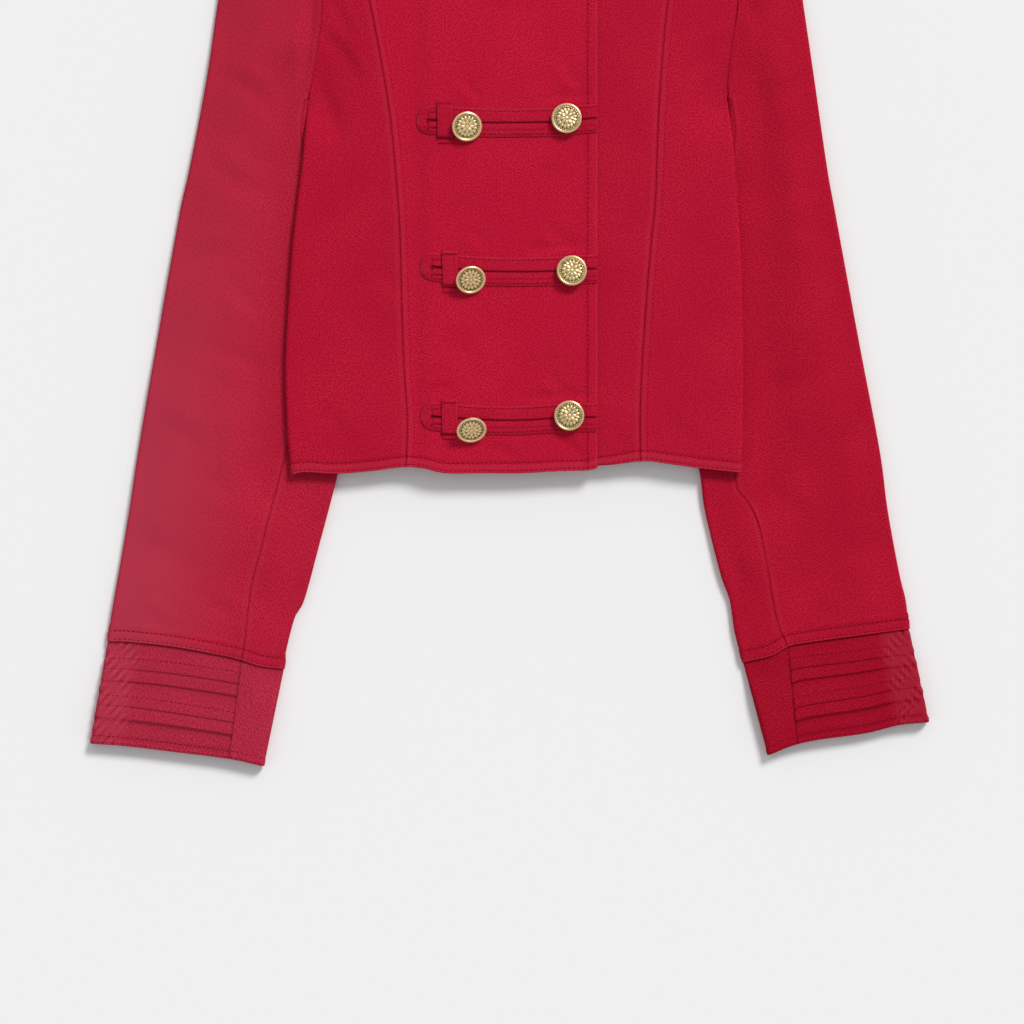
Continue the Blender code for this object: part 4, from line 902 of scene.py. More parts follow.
def sleeve_quarter(side, layer, quarter):
    """Plan points of a quarter of the flattened sleeve tube, from armhole to cuff."""
    arm, outer, seam = ARM_LINE[side], OUTER_LINE[side], SEAM_LINE[side]
    total = reach(arm)[-1]
    corner = total * ARM_CORNER
    cap = eased(walk(arm, np.linspace(0.0, corner, 60)), side)
    beside = eased(walk(arm, np.linspace(corner, total, 60)), side)
    cap[-1] = beside[0]
    dense = np.linspace(0.0, 1.0, 200)
    front = at(seam, dense)
    size = reach(beside)[-1] + reach(front)[-1]
    bend = reach(beside)[-1] / size
    opposite = at(outer, bend + (1.0 - bend) * dense)
    step, inner_width, stop = STEP, INNER_WIDTH, cuff_seams(side, 0.0)
    if layer == "low":
        front = mix(front, opposite, (BACK_SEAM_SHARE * smooth(dense * 13.0 / 6.0))[:, None])
        step, inner_width, stop = LOW_STEP, LOW_INNER_WIDTH, BACK_SEAM_SHARE
    away = opposite - front
    away /= np.hypot(away[:, 0], away[:, 1])[:, None]
    end = CUFF_TOP_LINE[side] + np.array((0.0, SEAM_GAP / 2))
    if quarter == "outer":
        edge = front + away * SEAM_GAP / 2
        last = at(end, np.linspace(0.0, stop, 60))
        edge[-1] = last[-1]
        edge = np.vstack([beside[-1:], edge])
        cap[0] = outer[0] = (cap[0] + outer[0]) / 2  # the outer edge is drawn in to the cap
        left = outer.copy()
        left[-1] = last[0]
        across = stations(OUTER_WIDTH, "fold", "seam", step=step)
        upward = stations(size, "seam", "seam", breaks=(bend * size,), step=step + 0.4)
        right = joined((beside, bend), (edge, 1.0))
        return plan_grid(cap, last, left, right, across, upward), upward
    edge = front - away * SEAM_GAP / 2
    last = at(end, np.linspace(stop, 1.0, 40))
    edge[-1] = last[0]
    edge[0] = edge[0] - np.array((0.0, SEAM_GAP))
    right = INNER_LINE[side].copy()
    right[-1] = last[-1]
    across = stations(inner_width, "seam", "fold", step=step)
    upward = stations(reach(front)[-1], "seam", "seam", step=step + 0.4)
    first = np.stack([edge[0], right[0]])
    return plan_grid(first, last, edge, right, across, upward), upward


def tube_layer(side, plan, layer, along, step=0.0):
    """Heights of a layer of a sleeve's tube, round at its outer and inner edges."""
    x, y = plan[..., 0], plan[..., 1]
    gap = np.minimum(*(gap_to(np.vstack([lines[side], CUFF_END_LINE[side][place]]), x, y)
                       for lines, place in ((OUTER_LINE, 0), (INNER_LINE, -1))))
    far = sleeve_height(side, x, y, along) - step if layer == "top" else REST
    return raised(plan, mix(FOLD_MIDDLE, far, fold_rise(gap, 0.0)))


def wrapped(over, under, quarter):
    """One grid round the outer or the inner edge from both of its layers, cuff end first."""
    parts = [under[:, :0:-1], over] if quarter == "outer" else [over, under[:, -2::-1]]
    return np.concatenate(parts, axis=1)[::-1]


def round_edge(node, side, quarter, over, under, finish, relief, wear_and_painted_light=0.0):
    """A sleeve or cuff piece round an edge; its relief, wear and painted shade and sheen are on
    the upper layer.
    """
    flat = np.zeros(under.shape[:2])
    relief, wear_and_painted_light = (wrapped(np.broadcast_to(marks, over.shape[:2]), flat, quarter)
                    for marks in (relief, wear_and_painted_light))
    return cloth(node + side, side, wrapped(over, under, quarter), finish, relief, wear_and_painted_light,
                 SLEEVE_TURN[side])


def sleeve_parts(side, finish):
    """Upper and under sleeve, which make a flattened tube."""
    made = []
    for node, quarter in (("sleeve_upper_", "outer"), ("sleeve_under_", "inner")):
        over, upward = sleeve_quarter(side, "top", quarter)
        under, low_upward = sleeve_quarter(side, "low", quarter)
        under = resampled(under, low_upward, upward)
        x, y = over[..., 0], over[..., 1]
        hem, arm, seam, rim = (gap_to(lines[side], x, y)
                               for lines in (CUFF_TOP_LINE, ARM_LINE, SEAM_LINE, OUTER_LINE))
        relief = turned(hem, 8.6, 1.3, 0.85) - marked(hem, SLEEVE_ROW, 0.8, 0.5)
        relief = relief - marked(hem, EDGE_ROW, 0.7, 0.3) - marked(arm, 4.6, 0.7, 0.25)
        relief = relief + turned(arm, 4.6, 1.2, 0.3)
        # Painted shade along the stitched row above the cuff, the front seam and the armhole; the
        # sleeve's edge and a band beside the seam are paler, rubbed.
        wear_and_painted_light = marked(hem, SLEEVE_ROW, 0.9, -0.4) + marked(hem, 0.0, 1.0, 0.3)
        wear_and_painted_light = wear_and_painted_light + marked(seam, 0.0, 0.8, -0.35) + marked(seam, 2.0, 1.3, 0.18)
        wear_and_painted_light = wear_and_painted_light + marked(arm, 0.0, 0.8, -0.3)
        # Painted light along the sleeve's outer edge, stronger towards the cuff: a painted sheen
        # on the right sleeve, slight painted shade on the left.
        low_down = smooth((EDGE_LIGHT_Y - y) / EDGE_LIGHT_EASE)
        paler = (1.0 - smooth(rim / EDGE_LIGHT_REACH)) * (0.35 + 0.65 * low_down)
        wear_and_painted_light = wear_and_painted_light + SLEEVE_EDGE_LIGHT[side] * paler
        over, under = (tube_layer(side, plan, layer, upward[:, None])
                       for plan, layer in ((over, "top"), (under, "low")))
        made.append(round_edge(node, side, quarter, over, under, finish, relief, wear_and_painted_light))
    return made


def resampled(grid, shares, wanted):
    """A grid's rows taken at other shares of its length."""
    columns = [np.stack([np.interp(wanted, shares, grid[:, i, axis]) for axis in (0, 1)], -1)
               for i in range(grid.shape[1])]
    return np.stack(columns, axis=1)


def cuff_rows():
    """Shares of a cuff's depth at its outer edge and at its seam, and the relief and painted
    shade there.
    """
    lines = [(0.0, 0.0)] + [line for tape in TAPES for line in tape] + [(1.0, 1.0)]
    rows = [(mix(first[0], second[0], place), mix(first[1], second[1], place), relief, shade)
            for first, second, reliefs, shades in zip(lines, lines[1:], CUFF_RELIEF, CUFF_SHADE)
            for place, relief, shade in zip(CUFF_PLACES, reliefs, shades)]
    return np.array(rows + [(1.0, 1.0, 0.4, 0.3)])


def cuff_layer(side, rows, near, far, marks, layer):
    """A layer of a cuff between two lines down it, each given at its top and its end."""
    top_line = CUFF_TOP_LINE[side] - np.array((0.0, SEAM_GAP / 2))
    share = mix(rows[:, :1], rows[:, 1:2], marks[None])
    place = mix(mix(near[0], near[1], share), mix(far[0], far[1], share), marks[None])
    plan = mix(at(top_line, place), at(CUFF_END_LINE[side], place), share[..., None])
    return tube_layer(side, plan, layer, 1.0, CUFF_STEP)


def cuff_parts(side, finish):
    """Upper cuff with its raised tapes, and plain under cuff."""
    rows = cuff_rows()
    down = rows[:, :1]
    width = reach(CUFF_TOP_LINE[side])[-1]
    half = SEAM_GAP / 2 / width
    seam, behind = cuff_seams(side, np.array((0.0, 1.0))), np.full(2, BACK_SEAM_SHARE)
    marks = stations(width * UPPER_CUFF, "fold", "seam", step=2.0)
    over = cuff_layer(side, rows, (0.0, 0.0), seam - half, marks, "top")
    low_marks = stations(width * BACK_SEAM_SHARE, "fold", "seam", step=3.0)
    under = cuff_layer(side, rows, (0.0, 0.0), behind - half, low_marks, "low")
    crimp = 1.0 - smooth((marks * width * UPPER_CUFF - CRIMP_WIDTH) / CRIMP_EASE)[None]
    x, y = over[..., 0] * SIDES[side], over[..., 1]
    ripple = 0.46 * np.sin(x * 0.95 + y * 0.85) * (0.5 + 0.5 * np.sin(x * 0.31 - y * 0.22 + 1.0))
    relief = rows[:, 2:3] * (mix(1.0, 0.72, crimp) * smooth(marks * width / 3.0)) + ripple * crimp
    relief = relief - marked(down, CUFF_ROWS[0], 0.009, 0.4)
    relief = relief - marked(down, CUFF_ROWS[1], 0.008, 0.25)
    # Painted shade along the tapes' grooves and lower edges, weaker on the crimped part, with
    # painted light and shade that follow the crimp's ripples.
    wear_and_painted_light = rows[:, 3:] * mix(1.0, 0.45, crimp) + ripple * crimp * 1.5
    # Painted shade along the cuff's seam and its stitched row; paler over the crimped outer part.
    wear_and_painted_light = wear_and_painted_light + marked((1.0 - marks[None]) * width * UPPER_CUFF, 0.0, 0.8, -0.6)
    wear_and_painted_light = wear_and_painted_light + marked(down, CUFF_ROWS[0], 0.01, -0.35) + 0.35 * crimp
    upper = round_edge("cuff_upper_", side, "outer", over, under, finish, relief, wear_and_painted_light)
    marks = stations(width * (1.0 - UPPER_CUFF), "seam", "fold", step=2.6)
    over = cuff_layer(side, rows, seam + half, (1.0, 1.0), marks, "top")
    low_marks = stations(width * (1.0 - BACK_SEAM_SHARE), "seam", "fold", step=4.0)
    under = cuff_layer(side, rows, behind + half, (1.0, 1.0), low_marks, "low")
    hem = 0.42 * smooth((down - 0.90) / 0.012) - marked(down, CUFF_ROWS[0], 0.009, 0.4)
    return [upper, round_edge("cuff_under_", side, "inner", over, under, finish, hem)]


def tree_of(*pieces):
    """One search tree of finished pieces, in millimetres."""
    points, faces = [], []
    for made in pieces:
        start = len(points)
        points += [vertex.co / MM for vertex in made.data.vertices]
        faces += [[start + place for place in face.vertices] for face in made.data.polygons]
    return BVHTree.FromPolygons(points, faces)


def dropped(tree, plan, above=60.0):
    """Heights of a piece under plan points, seen from above or from below."""
    way = Vector((0.0, 0.0, -1.0 if above > 0.0 else 1.0))
    hits = [tree.ray_cast(Vector((x, y, above)), way)[0] for x, y in plan.reshape(-1, 2)]
    found = np.array([hit.z if hit is not None else np.nan for hit in hits])
    known = ~np.isnan(found)
    places = np.arange(len(found))
    return np.interp(places, places[known], found[known]).reshape(plan.shape[:-1])


def tab(number, middles, panel, finish):
    """A tape folded along its middle: two ribs, a groove between and a pointed tip."""
    line = curve(middles)
    left, right = line[0, 0], line[-1, 0]
    across = np.sort(np.concatenate([np.linspace(-1.0, 1.0, 35), (-0.98, 0.98, -0.03, 0.03)]))
    x = np.concatenate([left + TAB_TIP * np.linspace(0.0, 1.0, 15)[:-1] ** 1.6,
                        np.linspace(left + TAB_TIP, left + 20.0, 22),
                        np.linspace(left + 21.0, right, 84)])
    tip = np.clip((x - left) / TAB_TIP, 0.0, 1.0)
    half = TAB_HALF_WIDTH * (0.22 + 0.78 * np.sqrt(tip * (2.0 - tip)))
    middle = np.interp(x, line[:, 0], line[:, 1])
    v = across[:, None]
    y = middle[None] + v * half[None] + 0.18 * np.sin(x / 9.0 + number)[None]
    plan = np.stack([np.repeat(x[None], len(across), 0), y], -1)
    base = dropped(panel, plan) + TAB_LIFT
    soft = (base[:, :-2] + base[:, 1:-1] + base[:, 2:]) / 3
    base[:, 1:-1] = np.maximum(base[:, 1:-1], soft)
    seam = smooth((x - left - 6.0) / 5.0)[None]
    from_hole = np.abs(x[None] - left - HOLE_AT)
    square = np.maximum(from_hole - SQUARE[0], np.abs(y - middle[None]) - SQUARE[1])
    slit = marked(v, 0.0, 0.05, 1.0) * (from_hole < 6.0)
    side = np.abs(v)
    rise = 0.35 + 0.85 * (1.0 - side ** 9) ** 0.5 + 0.12 * np.cos((side - 0.5) * math.pi) ** 2
    rise = rise - marked(v, 0.0, 0.06, 0.95) * seam - marked(v, -0.52, 0.05, 0.30) * seam
    rise = rise - marked(side, 0.84, 0.04, 0.20) - marked(square, 0.0, 0.6, 0.3)
    rise = rise - 0.6 * slit + 0.12 * np.sin(x / 5.3 + number)[None] * (1.0 - side)
    rise = np.maximum(rise, 0.15) * (0.62 + 0.38 * smooth((x - left) / 2.5))[None]
    # Painted shade in the middle groove, along the stitched lines, in the buttonhole's slit and
    # round its square; paler rubbed edges and tip.
    wear_and_painted_light = marked(v, 0.0, 0.06, -1.0) * seam + marked(v, -0.52, 0.05, -0.4) * seam
    wear_and_painted_light = wear_and_painted_light + marked(side, 0.84, 0.05, -0.3) - 0.9 * slit + marked(square, 0.0, 0.6, -0.45)
    wear_and_painted_light = wear_and_painted_light + marked(side, 1.0, 0.06, 0.3) + marked(x - left, 0.0, 1.2, 0.4)[None]
    made = closed_sheet("tab_%d" % number, "tape", raised(plan, base + rise), raised(plan, base),
                        plan, finish, wear_and_painted_light)
    return made, line


def loop(number, place, line, panel, finish):
    """A narrow carrier over a tab, its ends sewn down on the front."""
    middle, top, bottom = place
    tab_y = np.interp(middle, line[:, 0], line[:, 1])
    y = np.linspace(bottom, top, 46)
    across = np.array((-1.0, -0.96, -0.8, -0.6, -0.3, 0.0, 0.3, 0.6, 0.8, 0.96, 1.0))
    side = np.abs(across)
    lean = 0.35 * np.sin(y / 8.0 + number)
    x = middle + across[None] * LOOP_HALF_WIDTH + lean[:, None]
    plan = np.stack([x, np.repeat(y[:, None], len(across), 1)], -1)
    lift = 1.0 - smooth((np.abs(y - tab_y) - TAB_HALF_WIDTH - 0.5) / LOOP_RAMP)
    base = dropped(panel, plan) + LOOP_LIFT + lift[:, None] * (TAB_THICKNESS + 0.25)
    ends = np.minimum(top - y, y - bottom)
    rise = LOOP_THICKNESS * (0.45 + 0.55 * (1.0 - across ** 8) ** 0.5)[None]
    rise = rise - marked(side, 0.72, 0.08, 0.22)[None] - marked(ends, 3.0, 0.7, 0.4)[:, None]
    # Painted shade along the stitched lines and the bar-tacked ends; paler rubbed edges.
    wear_and_painted_light = marked(side, 0.72, 0.09, -0.3)[None] + marked(ends, 3.0, 0.8, -0.45)[:, None]
    wear_and_painted_light = wear_and_painted_light + marked(side, 1.0, 0.08, 0.35)[None]
    return closed_sheet("loop_%d" % number, "tape", raised(plan, base + rise),
                        raised(plan, base), plan, finish, wear_and_painted_light)


def cap_ground(radius):
    """The button's dome without its pattern."""
    return 2.0 - 0.008 * radius ** 2


def cap_height(radius, angle):
    """Face of a button: domed ground with a boss, petals, leaves, beads and a thin rim."""
    boss = 0.5 * np.sqrt(np.clip(1.0 - (radius / 1.2) ** 2, 0.0, 1.0))
    petal = np.abs(np.cos(angle * 4.0)) ** 0.7
    vein = 1.0 - 0.45 * np.exp(-(np.sin(angle * 4.0) / 0.16) ** 2)
    flower = smooth((radius - 1.4) / 0.5) * (1.0 - smooth((radius - 2.6 - 1.6 * petal) / 0.6))
    leaf = np.abs(np.sin(angle * 8.0)) ** 0.8
    leaves = (smooth((radius - 3.5 - 1.2 * leaf) / 0.6)
              * (1.0 - smooth((radius - 5.4 - 1.5 * leaf) / 0.5)))
    beads = np.clip(np.cos(angle * 34.0) * 1.4, 0.0, 1.0) * np.exp(-((radius - 8.1) / 0.4) ** 4)
    rim = 0.95 * smooth((radius - 8.7) / 0.6) * (1.0 - smooth((radius - 9.6) / 1.0) * 0.75)
    shapes = 0.5 * petal * vein * flower + 0.42 * leaf * leaves + 0.38 * beads
    return cap_ground(radius) + boss + shapes + rim


def button(node, place, finish):
    """A domed cap with a raised pattern, on a shank down to its tab."""
    x, y, tilt, heading = place
    tilt, heading = math.radians(tilt), math.radians(heading)
    low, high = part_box(node)
    crest = max(r * math.sin(tilt) + up * math.cos(tilt) for r, up in CAP_CREST)
    centre = high.z / MM - crest - SEATING
    foot = -(centre - low.z / MM) / max(math.cos(tilt), 0.5) + SHANK_RADIUS * math.tan(tilt)
    angle = np.arange(CAP_STEPS) * 2 * math.pi / CAP_STEPS
    points = [(0.0, 0.0, float(cap_height(np.array(0.0), np.array(0.0))))]
    wear_and_painted_light = [0.9]
    for radius in CAP_RINGS:
        height = cap_height(radius, angle)
        points += zip(radius * np.cos(angle), radius * np.sin(angle), height)
        wear_and_painted_light += list(np.clip((height - cap_ground(radius)) / 0.38 + 0.12, 0.0, 1.0))
    for radius, height in CAP_EDGE + ((SHANK_RADIUS, foot),):
        points += [(radius * c, radius * s, height) for c, s in zip(np.cos(angle), np.sin(angle))]
        wear_and_painted_light += [0.55] * CAP_STEPS
    points.append((0.0, 0.0, foot))
    wear_and_painted_light.append(0.4)
    last = len(points) - 1 - CAP_STEPS
    faces = []
    for k in range(CAP_STEPS):
        beside = (k + 1) % CAP_STEPS
        faces.append((0, 1 + k, 1 + beside))
        faces += [(a + k, a + CAP_STEPS + k, a + CAP_STEPS + beside, a + beside)
                  for a in range(1, last, CAP_STEPS)]
        faces.append((last + k, len(points) - 1, last + beside))
    lean = Vector((math.sin(heading), -math.cos(heading), 0.0))
    turn = Matrix.Translation((x, y, centre)) @ Matrix.Rotation(tilt, 4, -lean)
    made = new_piece(node + "_metal", [turn @ Vector(point) * MM for point in points], faces)
    return dressed(made, node, finish, wear_and_painted_light)


def shader_of(name):
    """A new node material with its tree and its shader."""
    made = bpy.data.materials.new(name)
    made.use_nodes = True
    return made, made.node_tree, made.node_tree.nodes["Principled BSDF"]


def blend_node(tree, amount, first, second):
    """A colour mix of sockets or colours; amount is a socket or a number."""
    node = tree.nodes.new("ShaderNodeMix")
    node.data_type = "RGBA"
    for place, value in ((0, amount), (6, first), (7, second)):
        if isinstance(value, bpy.types.NodeSocket):
            tree.links.new(value, node.inputs[place])
        else:
            node.inputs[place].default_value = value
    return node.outputs[2]


def wired(tree, node, **inputs):
    """A node with its inputs linked to sockets, or set to numbers and colours."""
    for name, value in inputs.items():
        socket = node.inputs[name.replace("_", " ")]
        if isinstance(value, bpy.types.NodeSocket):
            tree.links.new(value, socket)
        else:
            socket.default_value = value
    return node


def new_node(tree, kind, **inputs):
    return wired(tree, tree.nodes.new(kind), **inputs)


def noise_node(tree, where, scale, detail=4.0):
    return new_node(tree, "ShaderNodeTexNoise", Vector=where, Scale=scale, Detail=detail).outputs


def ranged(tree, value, low, high, start=0.0, end=1.0):
    node = new_node(tree, "ShaderNodeMapRange", Value=value, From_Min=low, From_Max=high,
                    To_Min=start, To_Max=end)
    return node.outputs["Result"]


def painted_light_and_wear_node(tree):
    """The wear, painted shade and painted sheen carried on a piece's points."""
    painted_light_and_wear = tree.nodes.new("ShaderNodeAttribute")
    painted_light_and_wear.attribute_name = "painted_light_and_wear"
    return painted_light_and_wear.outputs["Fac"]


def bumped(tree, height, strength, distance):
    node = new_node(tree, "ShaderNodeBump", Height=height, Strength=strength, Distance=distance)
    return node.outputs["Normal"]


def twill(name, colour, rib=1.9, relief=0.00025):
    """Cotton twill: diagonal ribs, uneven dye, paler rubbed edges, painted sheen and painted
    shade.
    """
    made, tree, shader = shader_of(name)
    weave = tree.nodes.new("ShaderNodeUVMap")
    weave.uv_map = "weave"
    weave = weave.outputs["UV"]
    turn = new_node(tree, "ShaderNodeMapping", Vector=weave,
                    Rotation=(0.0, 0.0, math.radians(TWILL_TURN)))
    ribs = new_node(tree, "ShaderNodeTexWave", Vector=turn.outputs["Vector"],
                    Scale=2.0 * math.pi / (20.0 * rib), Distortion=0.9, Detail=2.0,
                    Detail_Scale=1.4).outputs
    place = tree.nodes.new("ShaderNodeTexCoord").outputs["Object"]
    threads = noise_node(tree, weave, 0.8, 2.0)["Fac"]
    slubs = noise_node(tree, weave, 0.16)["Fac"]
    patches = noise_node(tree, place, 24.0, 3.0)["Fac"]
    red, green, blue = colour
    dark = (red * 0.83, green * 0.15, blue * 0.62, 1.0)
    light = (red * 1.16, green * 1.5 + 0.009, blue * 1.35 + 0.009, 1.0)
    shade = (red * 0.84, green * 0.7, blue * 0.85, 1.0)
    # The first colour below is for rubbed edges and the painted sheen, the second for painted
    # shade in grooves, seams and stitched rows.
    paler = (red * 1.01, green + 0.028, blue + 0.036, 1.0)
    painted_shade = (red * 0.30, green * 0.3, blue * 0.4, 1.0)
    ground = blend_node(tree, ranged(tree, threads, 0.40, 0.60), dark, light)
    ribbed = blend_node(tree, ranged(tree, ribs["Fac"], 0.0, 1.0), dark, light)
    ground = blend_node(tree, 0.30, ground, ribbed)
    ground = blend_node(tree, ranged(tree, slubs, 0.35, 0.65, 0.0, 0.25), ground, colour + (1.0,))
    ground = blend_node(tree, ranged(tree, patches, 0.36, 0.70, 0.0, 0.40), ground, shade)
    painted_light_and_wear = painted_light_and_wear_node(tree)
    # Positive marks mix in the paler colour (rubbed edges, painted sheen); negative marks mix in
    # the painted shade.
    ground = blend_node(tree, ranged(tree, painted_light_and_wear, 0.0, 1.0), ground, paler)
    ground = blend_node(tree, ranged(tree, painted_light_and_wear, 0.0, -1.0), ground, painted_shade)
    height = blend_node(tree, 0.35, ribs["Color"], noise_node(tree, weave, 1.1, 2.0)["Color"])
    wired(tree, shader, Base_Color=ground, Normal=bumped(tree, height, 0.55, relief),
          Roughness=0.86, Specular_IOR_Level=0.04)
    return made


def thread(name, colour):
    """Sewing thread, a little smoother than the cloth."""
    made, tree, shader = shader_of(name)
    place = tree.nodes.new("ShaderNodeTexCoord").outputs["Object"]
    dark = tuple(value * 0.7 for value in colour) + (1.0,)
    ground = blend_node(tree, noise_node(tree, place, 300.0)["Fac"], dark, colour + (1.0,))
    wired(tree, shader, Base_Color=ground, Roughness=0.80, Specular_IOR_Level=0.05)
    return made


def old_gold(name, bright):
    """Pale antique gold: bright where it is raised and rubbed, brown in its recesses."""
    made, tree, shader = shader_of(name)
    place = tree.nodes.new("ShaderNodeTexCoord").outputs["Object"]
    grain = noise_node(tree, place, 1400.0, 3.0)["Fac"]
    rubbed = tree.nodes.new("ShaderNodeMath")
    rubbed.operation = "MULTIPLY_ADD"
    tree.links.new(ranged(tree, grain, 0.25, 0.75, -0.22, 0.22), rubbed.inputs[0])
    rubbed.inputs[1].default_value = 1.0
    tree.links.new(painted_light_and_wear_node(tree), rubbed.inputs[2])
    rubbed = rubbed.outputs[0]
    # bright scales the gold: above 1 as painted light on the leaning buttons, below 1 as painted
    # shade on the flat ones.
    ground = blend_node(tree, ranged(tree, rubbed, 0.05, 0.75), RECESS_BROWN,
                        (0.90 * bright, 0.69 * bright, 0.35 * bright, 1.0))
    wired(tree, shader, Base_Color=ground, Roughness=ranged(tree, rubbed, 0.0, 1.0, 0.62, 0.30),
          Metallic=0.82, Normal=bumped(tree, grain, 0.35, 0.0001))
    return made


def stitch_group():
    """Geometry nodes that lay a stitch at every step along the lines of a mesh."""
    tree = bpy.data.node_groups.new("stitches_along", "GeometryNodeTree")
    for name, kind in STITCH_INPUTS.items():
        tree.interface.new_socket(name, in_out="INPUT", socket_type="NodeSocket" + kind)
    tree.interface.new_socket("Geometry", in_out="OUTPUT", socket_type="NodeSocketGeometry")
    given = tree.nodes.new("NodeGroupInput").outputs
    lines = new_node(tree, "GeometryNodeMeshToCurve", Mesh=given["Geometry"])
    points = tree.nodes.new("GeometryNodeCurveToPoints")
    points.mode = "LENGTH"
    wired(tree, points, Curve=lines.outputs["Curve"], Length=given["Pitch"])
    ball = new_node(tree, "GeometryNodeMeshUVSphere", Segments=6, Rings=4, Radius=0.5)
    size = new_node(tree, "ShaderNodeCombineXYZ", X=given["Width"], Y=given["Width"],
                    Z=given["Length"])
    place = new_node(tree, "GeometryNodeInstanceOnPoints", Points=points.outputs["Points"],
                     Instance=ball.outputs["Mesh"], Rotation=points.outputs["Rotation"],
                     Scale=size.outputs["Vector"])
    real = new_node(tree, "GeometryNodeRealizeInstances", Geometry=place.outputs["Instances"])
    paint = new_node(tree, "GeometryNodeSetMaterial", Geometry=real.outputs["Geometry"],
                     Material=given["Thread"])
    new_node(tree, "NodeGroupOutput", Geometry=paint.outputs["Geometry"])
    return tree


def sewn(name, lines, pitch=3.3, length=2.3, width=0.5):
    """Stitches along lines, in place of the lines, as one piece."""
    points, edges = [], []
    for line in lines:
        start = len(points)
        points += [tuple(point) for point in line * MM]
        edges += [(start + k, start + k + 1) for k in range(len(line) - 1)]
    made = new_piece(name, points, [], edges)
    sewing = made.modifiers.new("sewing", "NODES")
    sewing.node_group = STITCHES
    values = {"Pitch": pitch * MM, "Length": length * MM, "Width": width * MM,
              "Thread": RED_THREAD}
    for item in STITCHES.interface.items_tree:
        if item.in_out == "INPUT" and item.name in values:
            sewing[item.identifier] = values[item.name]
    bpy.context.view_layer.update()
    shown = made.evaluated_get(bpy.context.evaluated_depsgraph_get())
    result = bpy.data.meshes.new_from_object(shown)
    made.modifiers.remove(sewing)
    made.data = result
    result.shade_smooth()
    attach(made, "root")


def laid(tree, plan, lift=0.08, above=60.0):
    """A plan line laid on a piece, a little proud of it."""
    return raised(plan, dropped(tree, plan, above) + lift)


def fine(line, step=1.0):
    total = reach(line)[-1]
    return walk(line, np.linspace(0.0, total, max(2, int(total / step))))


def body_sewing(front):
    """Topstitching of the hem, front edge, neck and princess seams."""
    edge = FRONT_EDGE_X - FRONT_ROW
    rows = [fine(inset(HEM_LINE, aside))[3:-3] for aside in (HEM_ROW, EDGE_ROW)]
    rows += [fine(np.array([(edge, end) for end in FRONT_ROW_ENDS])),
             fine(inset(NECK_LINE, -NECK_ROW))[8:-8]]
    sewn("body_stitches", [laid(front, row) for row in rows], width=0.52)
    rows = []
    for seam in PRINCESS_LINE.values():
        seam = walk(seam, np.linspace(4.0, reach(seam)[-1] - 14.0, 300))
        rows.append(laid(front, fine(inset(seam, -SEAM_ROW)), 0.02))
    sewn("princess_stitches", rows, width=0.3)


def sleeve_sewing(side, tree):
    """Topstitching above the cuff."""
    rows = [fine(inset(CUFF_TOP_LINE[side], -SIDES[side] * aside))[5:-5]
            for aside in (7.6, EDGE_ROW)]
    sewn("sleeve_stitches_" + side, [laid(tree, row) for row in rows])


def cuff_sewing(side, tree):
    """Rows of stitches along the tapes and the cuff's end."""
    places = np.linspace(0.03, cuff_seams(side, 0.5) - 0.01, 90)
    rows = [(places, mix(near, far, places / places[-1])[:, None]) for near, far in TAPE_ROWS]
    rows += [(np.linspace(0.02, 0.98, 120), share) for share in CUFF_ROWS]
    lines = [mix(at(CUFF_TOP_LINE[side], places), at(CUFF_END_LINE[side], places), share)
             for places, share in rows]
    sewn("cuff_stitches_" + side, [laid(tree, fine(line)) for line in lines], length=2.1,
         width=0.42)


def tab_sewing(tabs, loops, lines):
    """Edge rows, end squares and buttonholes of the tabs, and bars across the loops."""
    tree, over = tree_of(*tabs), tree_of(*loops)
    rows, bars = [], []
    for line, (middle, top, bottom) in zip(lines, LOOPS):
        left, right = line[0, 0], line[-1, 0]
        x = np.linspace(left + 5.0, right - 0.6, 110)
        y = np.interp(x, line[:, 0], line[:, 1])
        bend = 1.0 - 0.42 * np.clip(1.0 - (x - left - 5.0) / 7.0, 0.0, 1.0) ** 2
        rows += [np.stack([x, y + aside * bend], 1) for aside in (-8.2, 8.2)]
        hole, end = (np.array((at_x, np.interp(at_x, line[:, 0], line[:, 1])))
                     for at_x in (left + HOLE_AT, right - 4.0))
        rows.append(hole + np.array(SQUARE) * ((-1, -1), (1, -1), (1, 1), (-1, 1), (-1, -1)))
        rows.append(end + np.array(((-3, -7.6), (-3, 7.6))))
        bars += [laid(tree, fine(hole + np.array(((-6.2, aside), (6.2, aside))), 0.5))
                 for aside in (-0.7, 0.7)]
        bars += [laid(over, fine(np.array(((middle - 4.2, bar), (middle + 4.2, bar))), 0.5))
                 for bar in (top - 3.0, bottom + 3.0)]
    rows = [laid(tree, fine(row, 0.8)) for row in rows]
    sewn("tab_stitches", rows, length=2.2, width=0.42)
    sewn("bar_tacks", bars, pitch=0.8, length=1.2)


def back_sewing(tree):
    """Hem rows of the back, on its underside."""
    x = np.linspace(SIDE_EDGE["right"][0][0] + 8.0, SIDE_EDGE["left"][0][0] - 8.0, 280)
    edge = np.interp(x, HEM_LINE[:, 0], HEM_LINE[:, 1]) + HIDDEN_HEM_RISE
    rows = [np.stack([x, edge + aside], 1) for aside in (HEM_ROW, 1.8)]
    sewn("back_stitches", [laid(tree, row, -0.02, -20.0) for row in rows], width=0.2)


